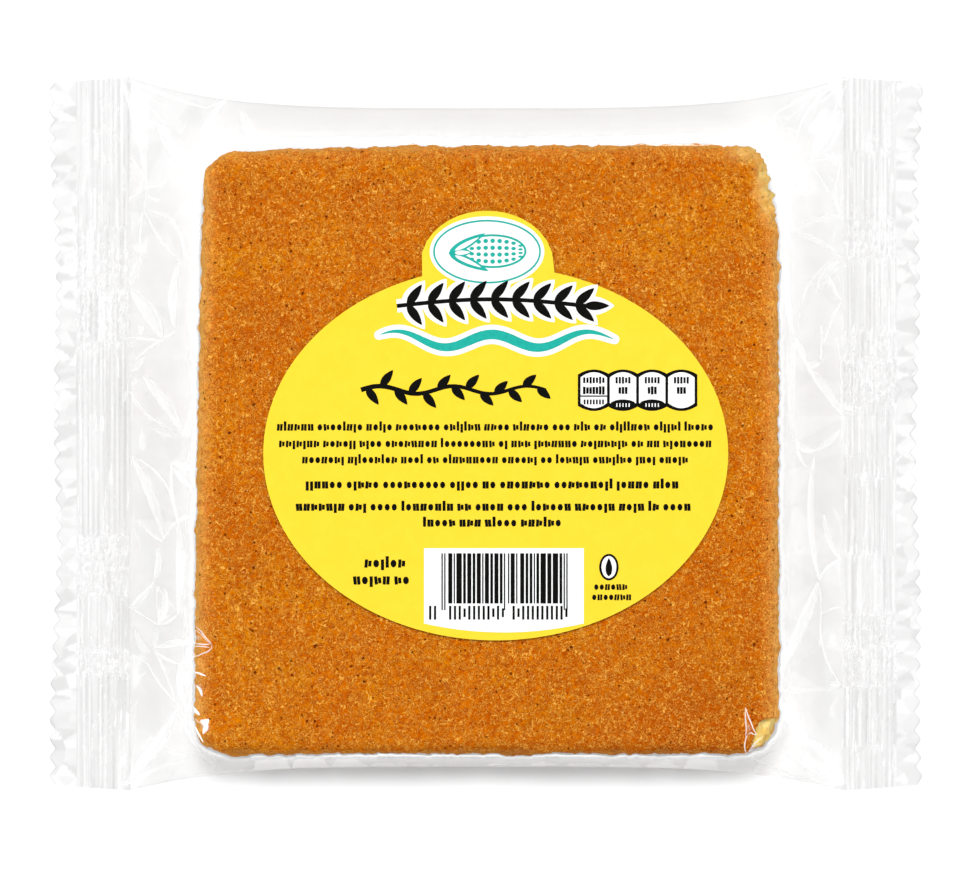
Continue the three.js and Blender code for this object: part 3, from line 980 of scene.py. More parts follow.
# %% Both webs in their places
FINE_SPACING, BACK_SPACING, MARGIN_SPACING = 3.1, 7.5, 1.9
FACE_ROWS, BACK_ROWS = 376, 190

film = film_material()
random_source = random.Random(20)
border = net_border(random_source)
end_net = Net(scattered(random_source, MARGIN_SPACING, 0.14, in_end), random_source)
face_nets = [
    Net(border + list(LEFT_STARS) + list(RIGHT_STARS), random_source),
    Net(border + scattered(random_source, FINE_SPACING, 0.16, in_shoulder), random_source),
]
back_nets = [
    Net(border + scattered(random_source, BACK_SPACING, 0.9, in_shoulder), random_source),
    Net(border + scattered(random_source, FINE_SPACING, 0.12, in_shoulder), random_source),
]


def columns_of(zones):
    return 2 * sum(count for count, _ in zones)


def face_place(u, v):
    return web_place(u, v, UPPER_ZONES)


def back_place(u, v):
    return web_place(u, v, UNDER_ZONES)


def face_height(x, y):
    return web_height(x, y, True, face_nets, end_net)


def back_height(x, y):
    return web_height(x, y, False, back_nets, end_net)


film_sheet("film_face", columns_of(UPPER_ZONES), FACE_ROWS, face_place, face_height, True)
film_sheet("film_back", columns_of(UNDER_ZONES), BACK_ROWS, back_place, back_height, False)


# %% [markdown]
# ### Hard creases
# Where film has been pinched hard it stays milky: thin lines, and long narrow facets between two
# stars that catch the light. Their white is partly milky film and partly a painted highlight. They
# are finer than the film's grid, so they are strips of the same film that lie on it, each from one
# point to another, with a slight bow. At two corners of the bread the film is pinched flat against
# the crust, and there the lines follow drawn paths: their white lines and patches are painted glints.

# %% Where the hard creases run
MIDDLE_COLUMN, MIDDLE_ROW = 486.5, 434.0  # the picture's pixel over the middle of the pack
HAIR_LINE, HAIR_WIDER, FACET_WIDER, WIDEST = 0.65, 1.2, 1.5, 4.0
WHITER, WHITEST = 1.4, 0.62
# Their white is partly the whitening of a hard crease and partly a painted highlight where a facet catches
# the light.
SEEN_FOLDS = (  # picture places, from and to, then width in mm, bow to the right of that way, how white
    (120, 76, 146, 184, 1.1, -0.04, 0.32), (121, 76, 205, 107, 0.55, 0.02, 0.36),
    (206, 107, 226, 98, 0.30, 0, 0.40), (226, 99, 201, 150, 1.0, 0.10, 0.34),
    (241, 110, 253, 141, 1.5, 0, 0.26), (156, 122, 196, 176, 3.0, -0.03, 0.20),
    (146, 186, 128, 158, 0.5, 0.10, 0.30), (146, 186, 127, 197, 0.3, 0, 0.35),
    (146, 186, 168, 180, 0.6, 0.06, 0.30), (146, 187, 143, 207, 0.3, 0, 0.40),
    (143, 208, 184, 257, 0.6, -0.22, 0.32), (143, 208, 179, 260, 0.5, 0.06, 0.26),
    (141, 209, 140, 256, 0.4, 0.04, 0.26), (142, 255, 129, 286, 1.2, 0.04, 0.30),
    (180, 262, 175, 329, 1.2, 0.08, 0.36), (129, 288, 162, 338, 2.0, -0.05, 0.34),
    (162, 339, 175, 331, 0.3, 0, 0.45), (162, 340, 129, 337, 0.4, 0, 0.30),
    (162, 340, 132, 362, 0.5, 0.05, 0.30), (129, 371, 142, 358, 1.1, 0, 0.32),
    (143, 376, 182, 430, 1.6, -0.03, 0.32), (129, 390, 163, 425, 0.7, 0.10, 0.22),
    (153, 428, 176, 435, 1.4, 0, 0.26), (130, 456, 163, 538, 1.3, -0.04, 0.34),
    (130, 456, 176, 520, 0.35, -0.15, 0.34), (171, 462, 177, 520, 0.5, 0.05, 0.40),
    (171, 462, 195, 470, 0.8, 0, 0.36), (171, 465, 194, 490, 0.7, 0.04, 0.34),
    (177, 520, 195, 515, 0.6, 0, 0.36), (177, 520, 178, 615, 1.2, -0.03, 0.42),
    (177, 521, 160, 543, 0.4, 0.05, 0.32), (141, 524, 160, 541, 0.6, 0.05, 0.34),
    (157, 548, 153, 580, 0.9, -0.08, 0.34), (153, 582, 128, 608, 1.0, -0.06, 0.36),
    (128, 608, 157, 625, 0.3, 0, 0.40), (156, 625, 164, 590, 1.1, 0.12, 0.36),
    (157, 625, 176, 615, 0.5, 0.10, 0.32), (153, 648, 157, 628, 0.8, 0, 0.30),
    (153, 648, 195, 642, 1.0, -0.04, 0.40), (153, 650, 180, 664, 0.5, 0.08, 0.36),
    (153, 650, 175, 705, 0.5, -0.04, 0.32), (129, 655, 147, 665, 0.3, 0, 0.34),
    (147, 665, 175, 703, 0.4, 0.04, 0.34), (180, 664, 190, 713, 0.8, 0.10, 0.32),
    (180, 664, 196, 655, 0.5, 0, 0.34), (177, 710, 123, 787, 1.5, -0.03, 0.36),
    (177, 711, 200, 752, 0.5, 0.03, 0.34), (165, 750, 200, 754, 0.6, 0.10, 0.28),
    (123, 788, 200, 755, 0.5, -0.04, 0.40), (200, 754, 215, 768, 1.4, -0.15, 0.34),
    (136, 700, 123, 786, 1.4, 0.03, 0.16), (850, 76, 775, 114, 0.6, 0.03, 0.32),
    (850, 76, 794, 157, 0.45, 0.15, 0.36), (850, 77, 810, 160, 0.5, -0.02, 0.24),
    (843, 110, 814, 158, 2.9, 0, 0.30), (809, 160, 846, 154, 0.35, 0.03, 0.40),
    (774, 116, 787, 190, 1.3, -0.03, 0.26), (787, 190, 786, 240, 1.6, 0.02, 0.32),
    (786, 238, 794, 337, 0.9, 0.04, 0.40), (805, 172, 802, 196, 1.9, 0, 0.22),
    (809, 160, 838, 208, 0.3, -0.03, 0.26), (839, 180, 844, 215, 0.8, 0.08, 0.30),
    (843, 156, 838, 180, 0.4, 0, 0.30), (844, 215, 795, 228, 0.8, 0.05, 0.20),
    (842, 255, 795, 232, 0.8, 0.04, 0.20), (842, 257, 800, 322, 0.5, 0.16, 0.18),
    (843, 260, 818, 292, 1.5, 0.06, 0.26), (843, 300, 829, 275, 0.8, -0.06, 0.32),
    (843, 302, 825, 345, 0.5, 0.05, 0.30), (795, 338, 806, 364, 0.8, -0.05, 0.32),
    (806, 364, 821, 362, 0.9, 0.12, 0.34), (821, 362, 822, 325, 0.35, 0.04, 0.26),
    (807, 366, 844, 415, 1.4, -0.04, 0.42), (842, 414, 838, 336, 0.35, 0.03, 0.24),
    (795, 340, 793, 440, 1.2, 0.02, 0.22), (797, 441, 815, 451, 0.9, 0.15, 0.34),
    (797, 442, 808, 470, 0.6, 0.08, 0.26), (815, 451, 842, 430, 0.8, 0.06, 0.34),
    (815, 456, 820, 580, 0.9, 0.05, 0.42), (825, 515, 842, 560, 0.9, 0.07, 0.32),
    (842, 560, 820, 580, 0.8, 0.05, 0.36), (819, 583, 781, 668, 1.5, -0.03, 0.46),
    (819, 583, 822, 614, 0.4, -0.03, 0.26), (822, 615, 842, 607, 0.3, -0.05, 0.34),
    (822, 615, 842, 686, 0.35, 0.10, 0.34), (830, 684, 842, 686, 0.7, 0, 0.36),
    (780, 690, 843, 688, 0.8, 0.02, 0.18), (780, 703, 808, 744, 1.8, -0.03, 0.46),
    (802, 738, 846, 786, 2.9, -0.03, 0.44), (785, 754, 845, 787, 0.4, 0.03, 0.32),
    (747, 755, 845, 786, 0.3, 0.06, 0.36), (812, 744, 845, 785, 0.6, -0.10, 0.30),
)


def fold_on_pack(from_column, from_row, to_column, to_row, width, bow, whiteness):
    """A fold seen in the picture, in millimetres, a little wider and whiter so that it shows."""
    ax, bx = (round((column - MIDDLE_COLUMN) / PIXELS_PER_MM, 1) for column in (from_column, to_column))
    ay, by = (round((MIDDLE_ROW - row) / PIXELS_PER_MM, 1) for row in (from_row, to_row))
    wider = round(width * (HAIR_WIDER if width < HAIR_LINE else FACET_WIDER), 2)
    return ax, ay, bx, by, min(wider, WIDEST), bow, min(round(whiteness * WHITER, 2), WHITEST)


FOLDS_AND_GLINTS = [fold_on_pack(*row) for row in SEEN_FOLDS]
# Painted glints along the tucks' pinched edges.
TUCK_GLINTS = (  # width in mm, how white, and the line's points
    (0.26, 0.72, ((50.56, -53.34), (50.98, -54.74), (51.74, -56.56), (52.17, -57.74), (52.83, -58.79))),
    (0.23, 0.66, ((52.83, -58.79), (52.03, -58.58), (51.60, -58.30), (51.06, -58.71))),
    (0.30, 0.55, ((50.56, -53.34), (50.56, -55.58), (50.76, -57.68), (50.56, -59.35))),
    (0.23, 0.66, ((51.06, -58.71), (50.62, -59.60), (50.41, -60.74), (50.49, -61.90), (51.00, -62.40))),
    (0.23, 0.60, ((51.00, -62.40), (51.60, -61.44), (52.44, -60.33), (53.80, -59.20))),
    (0.20, 0.44, ((51.60, -61.90), (52.40, -61.00), (53.10, -60.30))),
    (0.22, 0.66, ((-56.84, -37.60), (-55.76, -38.48), (-54.79, -39.84), (-53.71, -40.92))),
    (0.18, 0.52, ((-56.97, -38.18), (-55.76, -39.06), (-54.59, -40.43), (-53.71, -40.92))),
    (0.24, 0.72, ((-57.05, -40.92), (-54.98, -41.11), (-53.71, -40.98))),
    (0.22, 0.66, ((-57.05, -41.41), (-55.37, -41.50), (-54.00, -41.70))),
    (0.24, 0.60, ((-53.71, -41.02), (-53.65, -41.80), (-54.39, -42.48), (-55.86, -43.07), (-57.03, -43.55))),
    (0.36, 0.95, ((-57.13, -46.45), (-56.05, -46.78), (-54.78, -47.25))),
    (0.60, 1.10, ((-57.10, -53.40), (-56.70, -54.20), (-56.00, -54.90))),
    (0.55, 0.80, ((-56.70, -49.00), (-55.90, -50.00), (-55.50, -51.30))),
    (1.10, 1.00, ((-55.90, -55.90), (-55.00, -56.40), (-54.20, -55.70))),
    (0.95, 0.85, ((-54.80, -55.90), (-54.80, -57.40), (-55.40, -58.60))),
    (0.20, 0.44, ((-57.00, -55.50), (-56.20, -56.35), (-55.60, -56.20))),
    (0.36, 1.00, ((-57.03, -56.84), (-56.45, -58.20), (-55.30, -60.25))),
)
# Painted glints: white patches where the film catches the light.
GLINT_PATCHES = (  # middle, half sizes, turn and how white
    (51.25, -57.30, 0.45, 1.15, 0.30, 0.21), (50.80, -59.00, 0.28, 0.75, -0.20, 0.17),
    (-56.30, -39.80, 0.75, 0.60, 0.00, 0.25), (-55.90, -49.60, 0.60, 1.25, 0.45, 0.17),
    (-55.00, -56.90, 1.00, 1.50, 0.50, 0.45),
)
print("folds:", len(FOLDS_AND_GLINTS), "pinched lines:", len(TUCK_GLINTS), "patches:", len(GLINT_PATCHES))


# %% Strips and patches of whitened film and painted glints
def bowed(ax, ay, bx, by, bow):
    """Points of a shallow arc between two points."""
    over_x, over_y = bx - ax, by - ay
    rises = [(t, 4 * bow * t * (1 - t)) for t in np.linspace(0, 1, 9)]
    return [(ax + t * over_x + rise * over_y, ay + t * over_y - rise * over_x) for t, rise in rises]


def strip(bm, white_layer, points, width, whiteness):
    """A strip along a line of points, pointed at both ends. A wide one fades towards one side."""
    xs, ys = zip(*points)
    lengths = np.cumsum([0.0] + [math.dist(a, b) for a, b in zip(points, points[1:])])
    steps = max(4, round(lengths[-1] / 0.3))
    fade = 0.6 * min(max(width - 0.6, 0), 1)
    for vert in bmesh.ops.create_grid(bm, x_segments=steps, y_segments=2, size=1.0)["verts"]:
        t, side = (vert.co.x + 1) / 2, vert.co.y
        stops = [min(max(t + shift, 0), 1) * lengths[-1] for shift in (-0.03, 0, 0.03)]
        along_x, along_y = np.interp(stops, lengths, xs), np.interp(stops, lengths, ys)
        run = Vector((along_x[2] - along_x[0], along_y[2] - along_y[0])).normalized()
        half = side * width / 2 * (0.12 + 0.88 * math.sin(math.pi * t) ** 0.7)
        vert.co = (along_x[1] - run.y * half, along_y[1] + run.x * half, 0)
        vert[white_layer] = whiteness * (1 - fade * (side + 1) / 2)


def patch(bm, white_layer, x, y, half_x, half_y, turn, whiteness):
    """A white patch, a painted glint, that fades to clear film at its rim."""
    spin = Matrix.Translation((x, y, 0)) @ Matrix.Rotation(turn, 4, "Z")
    scale = Matrix.Diagonal((half_x, half_y, 1, 1))
    made = bmesh.ops.create_circle(
        bm, cap_ends=True, cap_tris=True, radius=1.0, segments=20, matrix=spin @ scale
    )["verts"]
    for vert in made:
        rim = math.dist((vert.co.x, vert.co.y), (x, y)) > 0.2 * min(half_x, half_y)
        vert[white_layer] = 0.0 if rim else whiteness


# %% Hard creases
CREASE_LIFT = 0.05


def crease_material():
    """White where marked, partly whitened film and partly painted highlight, and nothing elsewhere: the film
    under it has the gloss already.
    """
    n, clear = clear_nodes("film_crease")
    return white_share_material(n, clear.outputs["BSDF"], n.attribute("white"))


def lay_on_film(bm, name, lift, material):
    """Lifts a flat mesh in millimetres on to the film's upper web and keeps it as a piece."""
    places = np.array([vert.co for vert in bm.verts])
    for vert, height in zip(bm.verts, face_height(places[:, 0], places[:, 1])[0]):
        vert.co = (vert.co.x * MM, vert.co.y * MM, (height + lift) * MM)
    bmesh.ops.recalc_face_normals(bm, faces=bm.faces)
    for face in bm.faces:
        if face.normal.z < 0:
            face.normal_flip()
    piece = keep(bm, name, material)
    piece.visible_shadow = False
    attach(piece, "film")


def film_creases():
    bm = bmesh.new()
    white_layer = bm.verts.layers.float.new("white")
    for row in GLINT_PATCHES:
        patch(bm, white_layer, *row)
    for width, whiteness, points in TUCK_GLINTS:
        strip(bm, white_layer, points, width, whiteness)
    for ax, ay, bx, by, width, bow, whiteness in FOLDS_AND_GLINTS:
        strip(bm, white_layer, bowed(ax, ay, bx, by, bow), width, whiteness)
    lay_on_film(bm, "film_creases", CREASE_LIFT, crease_material())


film_creases()


# %% [markdown]
# ### The stretched rim
# Where film is pulled over the bread's edge it is stretched, and turns milky too. Its white is also
# painted light: it lightens the shade that the bread throws on the floor beside it, and near the
# long folds it stands in for the glare of the steep film. This ring starts on the bread's own uneven
# outline. A circle takes the outline's shape, and is extruded outwards ring by ring, each calmer
# than the one before and with its own share of white. Where a long fold is near, the rings crowd
# together, so that they end on it, and the film there is whiter. It falls steeply there, and thin
# film that is milky at a flat angle is nearly clear when looked at head-on.

# %% The stretched rim
RIM_LIFT = 0.02
# The ring's white is partly stretched film and partly painted light: it lightens the shade that the bread
# throws on the floor beside it, and near the folds it stands in for the steep film's glare.
RIM_MILK_AND_LIGHT, CROWDED_MILK_AND_GLARE = 0.58, 0.85
RIM_RINGS = (  # how far out, and share of the white
    (0.0, 0.55), (0.12, 1.0), (0.45, 0.95), (0.9, 0.60), (1.8, 0.32), (3.6, 0.10), (6.0, 0.0),
)
CALM_STEPS, CALM_FROM = 5, 1.3
WALL_SHARE, WALL_FROM = 1.25, 0.9


def rim_milk_and_light_material():
    """Like the creases, but a steep wall of it is clear film when it is looked at head-on."""
    n, clear = clear_nodes("film_rim_milk_and_light")
    angle = n.add("ShaderNodeLayerWeight")
    angle.inputs["Blend"].default_value = 0.5
    head_on = n.math("SUBTRACT", 1.0, angle.outputs["Facing"])
    left = n.math("SUBTRACT", 1.0, n.math("MULTIPLY", n.attribute("wall"), head_on))
    return white_share_material(n, clear.outputs["BSDF"], n.math("MULTIPLY", n.attribute("white"), left))


def calmed(outline):
    """A smoother outline that stays outside the given one."""
    shifts = range(-CALM_STEPS, CALM_STEPS + 1)
    widest = np.max([np.roll(outline, shift) for shift in shifts], axis=0)
    return np.mean([np.roll(widest, shift) for shift in shifts], axis=0)


def crowding(reach, cosine, sine):
    """The share of the rings' full spread that fits between the bread and the long fold."""
    x, y = BREAD_X + reach * cosine, BREAD_Y + reach * sine
    gap = fold_line(x, UPPER_WAIST) - y if sine > 0 else fold_line(x, LOWER_WAIST) + y
    return min(gap / max(abs(sine), 0.01) / RIM_RINGS[-1][0], 1.0)


# %% The rings in their places
def place_ring(verts, ring_outline, out, share, white_layer, wall_layer):
    """Moves a ring to its distance out from the outline, and says how white and steep it is."""
    for vert in verts:
        angle = math.atan2(vert.co.y - BREAD_Y, vert.co.x - BREAD_X)
        start = np.interp(angle, outline_angles, ring_outline, period=math.tau)
        cosine, sine = math.cos(angle), math.sin(angle)
        spread = crowding(start, cosine, sine)
        reach = start + out * spread
        vert.co = (BREAD_X + reach * cosine, BREAD_Y + reach * sine, 0)
        # Painted light: white over the floor's shade beside the bread, whiter where the rings crowd near a
        # fold.
        vert[white_layer] = share * RIM_MILK_AND_LIGHT + CROWDED_MILK_AND_GLARE * (1 - spread)
        vert[wall_layer] = min(WALL_SHARE * (1 - spread), 1.0) * min(out / WALL_FROM, 1.0)


def film_rim():
    bm = bmesh.new()
    layers = [bm.verts.layers.float.new(name) for name in ("white", "wall")]
    middle = Matrix.Translation((BREAD_X, BREAD_Y, 0))
    bmesh.ops.create_circle(bm, cap_ends=False, radius=1.0, segments=OUTLINE_STEPS, matrix=middle)
    verts, border = list(bm.verts), list(bm.edges)
    calm_outline = calmed(bread_outline)
    for number, (out, share) in enumerate(RIM_RINGS):
        if number:
            grown = bmesh.ops.extrude_edge_only(bm, edges=border)["geom"]
            verts = [g for g in grown if isinstance(g, bmesh.types.BMVert)]
            border = [g for g in grown if isinstance(g, bmesh.types.BMEdge) and g.is_boundary]
        calm = min(max(out / CALM_FROM, 0), 1)
        ring_outline = bread_outline * (1 - calm) + calm_outline * calm
        place_ring(verts, ring_outline, out, share, *layers)
    lay_on_film(bm, "film_rim", RIM_LIFT, rim_milk_and_light_material())


film_rim()


# %% [markdown]
# ### The back seal
# The tube's two long edges are welded face to face and folded flat against the back. The weld is a
# band with fine ribs along it. It follows the back of the pack from one end seal to the other.

# %% The back seal
SEAL_RIB_PITCH, SEAL_RIB_DEPTH = 1.3, 0.03


def seal_place(u, v):
    return u * (CRIMP_END + 2.0), SEAL_MIDDLE + v * SEAL_HALF


def seal_rib_height(x, y):
    height, white, shade = back_height(x, y)
    ribs = SEAL_RIB_DEPTH * np.cos(2 * np.pi * (y - SEAL_MIDDLE) / SEAL_RIB_PITCH)
    return np.maximum(height - 0.08 + ribs, 0.01), white * 0, shade * 0


film_sheet("back_seal", 320, 54, seal_place, seal_rib_height, False)


# %% [markdown]
# ## The print
# The label is a flat sticker, and its ink has no thickness that shows. Each colour of ink is one
# thin mesh, laid just above the label. An image texture would be simpler, but flat shapes stay
# sharp at any size. Two calls draw everything: an oval, and a stroke along a path whose width may
# change, which gives lines, leaves, grains, waves and outlines.

# %% Calls for flat shapes
INK_STEP = 0.02


class Ink:
    """The flat shapes of one colour of print."""

    def __init__(self, name, material):
        self.name, self.material = name, material
        self.bm = bmesh.new()
        self.count = 0

    def level(self, verts, layer):
        """No two shapes that overlap share a height, or they would shade each other."""
        self.count += 1
        for vert in verts:
            vert.co.z = LABEL_TOP + INK_STEP * (layer + 0.8 * (self.count % 40) / 40)

    def oval(self, x, y, half_x, half_y, turn=0.0, layer=1, segments=40):
        spin = Matrix.Translation((x, y, 0)) @ Matrix.Rotation(turn, 4, "Z")
        scale = Matrix.Diagonal((half_x, half_y, 1, 1))
        made = bmesh.ops.create_circle(
            self.bm, cap_ends=True, radius=1.0, segments=segments, matrix=spin @ scale
        )["verts"]
        self.level(made, layer)

    def stroke(self, path, width, steps, layer=1):
        """A strip with its middle on path(t) and as wide as width(t), for t from 0 to 1."""
        made = bmesh.ops.create_grid(self.bm, x_segments=steps, y_segments=1, size=1.0)["verts"]
        for vert in made:
            t, side = (vert.co.x + 1) / 2, vert.co.y / 2
            ahead, behind = path(t + 0.002), path(t - 0.002)
            run = Vector((ahead[0] - behind[0], ahead[1] - behind[1])).normalized()
            x, y = path(t)
            vert.co = (x - run.y * side * width(t), y + run.x * side * width(t), 0)
        self.level(made, layer)

    def field(self, left, right, low, high, steps=1, layer=1):
        """A field between two upright sides, whose lower and upper edges are low(t) and high(t)."""
        made = bmesh.ops.create_grid(self.bm, x_segments=steps, y_segments=1, size=1.0)["verts"]
        for vert in made:
            t = (vert.co.x + 1) / 2
            vert.co = (left + (right - left) * t, high(t) if vert.co.y > 0 else low(t), 0)
        self.level(made, layer)

    def bar(self, x, y, width, height, lean=0.0, layer=1):
        """An upright bar, leaning by that share of its height."""
        upright = lambda t: (x + lean * height * (t - 0.5), y + height * (t - 0.5))
        self.stroke(upright, lambda t: width, 1, layer)

    def leaf(self, x, y, length, width, turn, layer=1):
        """A grain or leaf that starts at a point and runs in a direction, round at its foot."""
        way = (math.cos(turn), math.sin(turn))
        swell = lambda t: width * math.sin(math.pi * min(max(t, 0), 1) ** 0.75) ** 0.8
        self.stroke(lambda t: (x + way[0] * length * t, y + way[1] * length * t), swell, 12, layer)

    def ring(self, x, y, half_x, half_y, width, layer=1):
        around = lambda t: (x + half_x * math.cos(2 * math.pi * t), y + half_y * math.sin(2 * math.pi * t))
        self.stroke(around, lambda t: width, 72, layer)

    def finish(self):
        bmesh.ops.remove_doubles(self.bm, verts=self.bm.verts, dist=INK_STEP / 10)
        bmesh.ops.scale(self.bm, vec=(MM, MM, MM), verts=self.bm.verts)
        bmesh.ops.recalc_face_normals(self.bm, faces=self.bm.faces)
        for face in self.bm.faces:
            if face.normal.z < 0:
                face.normal_flip()
        piece = keep(self.bm, self.name, self.material, smooth=False)
        attach(piece, "label")


# %% [markdown]
# ### Label and inks
# The label is yellow coated paper. Ink and coating are never quite even, so a faint noise varies
# the yellow, and its cut edge stays paper white.

# %% Their materials
LABEL_YELLOW, LABEL_YELLOW_DEEP = paint(243, 212, 55), paint(241, 209, 50)
PAPER = paint(238, 238, 234)


def label_material():
    n = Nodes("label_paper")
    mottle = n.span(n.noise(0.35, detail=4.0, roughness=0.6), 0.35, 0.65)
    yellow = n.mix(mottle, LABEL_YELLOW, LABEL_YELLOW_DEEP)
    height = n.add("ShaderNodeSeparateXYZ")
    n.link(n.place(1.0), height.inputs["Vector"])
    printed = n.math("GREATER_THAN", height.outputs["Z"], LABEL_TOP - 0.02)
    n.link(n.mix(printed, PAPER, yellow), n.shader.inputs["Base Color"])
    n.link(n.bump(n.noise(3.0, detail=2.0), 0.15, 0.02), n.shader.inputs["Normal"])
    n.link(n.span(mottle, 0.0, 1.0, 0.54, 0.62), n.shader.inputs["Roughness"])
    n.shader.inputs["Specular IOR Level"].default_value = 0.06
    return n.material


def ink_material(name, colour, uneven):
    n = Nodes(name)
    shade = tuple(c * uneven for c in colour)
    n.link(n.mix(n.span(n.noise(1.2, detail=3.0), 0.4, 0.65), colour, shade), n.shader.inputs["Base Color"])
    n.shader.inputs["Roughness"].default_value = 0.6
    n.shader.inputs["Specular IOR Level"].default_value = 0.04
    return n.material


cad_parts["label"].material_slots[0].material = label_material()
white = Ink("print_white", ink_material("ink_white", paint(246, 246, 246), 0.98))
teal = Ink("print_teal", ink_material("ink_teal", paint(36, 172, 158), 0.90))
black = Ink("print_black", ink_material("ink_black", paint(12, 12, 10), 0.6))


# %% [markdown]
# ### The drawings
# The tab holds an ear of corn on a white field, and wheat lies over a wave below it. A sprig of
# leaves fills the large line. A halo is the same shape in white, a little larger and a layer lower.

# %% The tab: an ear of corn on a white field
TAB_X, TAB_Y, TAB_HALF_X, TAB_HALF_Y = 0.1, 35.6, 11.2, 6.9
COB_X, COB_Y, COB_HALF_X, COB_HALF_Y = 1.2, 35.7, 6.4, 3.1
KERNEL_STEP, KERNEL_ROWS = 1.36, 4

white.oval(TAB_X, TAB_Y, TAB_HALF_X, TAB_HALF_Y, segments=72)
teal.ring(TAB_X, TAB_Y, TAB_HALF_X - 0.85, TAB_HALF_Y - 0.85, 0.36, layer=2)
teal.ring(COB_X, COB_Y, COB_HALF_X, COB_HALF_Y, 0.42, layer=2)
for row in range(KERNEL_ROWS):
    for column in range(-4, 5):
        slim = math.sqrt(1 - (column * KERNEL_STEP / COB_HALF_X) ** 2)
        lift = (row - (KERNEL_ROWS - 1) / 2) * 1.35 * slim
        teal.oval(COB_X + column * KERNEL_STEP, COB_Y + lift, 0.46, 0.44 * slim, layer=2, segments=14)
for turn, length in ((0.50, 8.2), (-0.42, 8.6), (0.05, 4.6)):
    teal.leaf(COB_X - 8.6, COB_Y - 0.4, length, 1.9, turn, layer=3)
    white.leaf(COB_X - 7.4, COB_Y - 0.4 + 1.1 * math.sin(turn), length * 0.66, 0.85, turn, layer=4)


# %% Under the tab: an ear of wheat over a wave
EAR_LEFT, EAR_RIGHT, EAR_Y = -17.5, 19.5, 25.6
GRAIN_PAIRS, GRAIN_LENGTH, GRAIN_WIDTH = 9, 4.9, 1.75
WAVE_LEFT, WAVE_LENGTH, WAVE_Y, WAVE_WIDTH = -21.0, 46.0, 18.9, 1.9
HALO = 0.95


def ear_line(t):
    return EAR_LEFT + (EAR_RIGHT - EAR_LEFT) * t, EAR_Y + 1.3 * math.sin(math.pi * t) - 0.6


def wave_line(t):
    rise = 1.35 * math.sin(2 * math.pi * (2.5 * t + 0.05))
    return WAVE_LEFT + WAVE_LENGTH * t, WAVE_Y + rise - 0.8 * math.sin(math.pi * t)


def wave_width(t):
    return WAVE_WIDTH * max(math.sin(math.pi * min(max(t, 0.0), 1.0)), 0.0) ** 0.7


for pair in range(GRAIN_PAIRS):
    foot_x, foot_y = ear_line((pair + 0.5) / GRAIN_PAIRS)
    for lean in (0.95, -0.95):
        turn = lean * (1 - 0.25 * pair / GRAIN_PAIRS)
        back_x, back_y = foot_x - HALO * math.cos(turn), foot_y - HALO * math.sin(turn)
        white.leaf(back_x, back_y, GRAIN_LENGTH + 2 * HALO, GRAIN_WIDTH + 2 * HALO, turn)
        black.leaf(foot_x, foot_y, GRAIN_LENGTH, GRAIN_WIDTH, turn, layer=3)
tip_x, tip_y = ear_line(0.99)
white.leaf(tip_x - HALO, tip_y, GRAIN_LENGTH + 2 * HALO, GRAIN_WIDTH + 2 * HALO, 0.0)
black.leaf(tip_x, tip_y, GRAIN_LENGTH, GRAIN_WIDTH, 0.0, layer=3)
white.stroke(ear_line, lambda t: 2.6, 30)
black.stroke(ear_line, lambda t: 0.8, 30, layer=3)
white.stroke(wave_line, lambda t: wave_width(t) + 2 * HALO, 70)
teal.stroke(wave_line, wave_width, 70, layer=2)
for end in (0.0, 1.0):
    white.oval(*wave_line(end), HALO, HALO, segments=20)


# %% The large line: a sprig of leaves
SPRIG_LEFT, SPRIG_RIGHT, SPRIG_Y = -24.5, 11.6, 8.6
SPRIG_LEAVES = 13


def sprig_line(t):
    return SPRIG_LEFT + (SPRIG_RIGHT - SPRIG_LEFT) * t, SPRIG_Y + 0.75 * math.sin(2 * math.pi * 2.5 * t)


black.stroke(sprig_line, lambda t: 0.95 - 0.35 * t, 48, layer=1)
for leaf in range(SPRIG_LEAVES):
    foot_x, foot_y = sprig_line((leaf + 0.4) / SPRIG_LEAVES)
    up = 1 if leaf % 2 else -1
    black.leaf(foot_x, foot_y, 4.0 - 0.05 * leaf, 1.65, up * (0.95 - 0.02 * leaf), layer=1)


# %% [markdown]
# ### The small print
# Small print is laid out like text on any food label, but it says nothing. Each letter's place
# holds short upright marks or a filled dot, grouped as words by seeded draws.

# %% Lines of small marks
print_source = random.Random(5)


def mark_line(left, right, middle, height, weight):
    """Marks as high as small letters, in words, from left to right."""
    x = left
    while x < right - height:
        for _ in range(print_source.randint(2, 9)):
            kind = print_source.random()
            if x > right - height * 0.5:
                break
            if kind < 0.36:
                black.oval(x + height * 0.38, middle, height * 0.36, height * 0.48, segments=10)
                x += height * 0.38
            elif kind < 0.80:
                lean = print_source.uniform(-0.12, 0.12)
                black.bar(x + weight / 2, middle, weight, height, lean)
                second = height * print_source.choice((1, 0.7))
                black.bar(x + weight / 2 + height * 0.45, middle, weight, second, lean)
                x += height * 0.45
            else:
                rise = print_source.choice((0.4, -0.3)) * height
                black.bar(x + weight / 2, middle + rise / 2, weight, height + abs(rise))
            x += weight + height * 0.19
        x += height * 0.40


TEXT_LINES = (  # left, right, middle, height and weight
    (-40.9, 44.6, 1.3, 1.30, 0.49), (-40.5, 44.0, -1.95, 1.30, 0.49), (-36.0, 39.7, -5.1, 1.30, 0.49),
    (-35.3, 37.6, -9.95, 1.40, 0.58), (-37.2, 39.6, -14.3, 1.40, 0.58), (-12.4, 14.7, -17.4, 1.40, 0.58),
    (-23.8, -16.2, -25.3, 1.6, 0.62), (-26.0, -14.2, -28.6, 1.6, 0.62),
    (21.0, 27.6, -29.9, 1.15, 0.42), (20.6, 28.0, -31.9, 1.15, 0.42),
)
for line in TEXT_LINES:
    mark_line(*line)


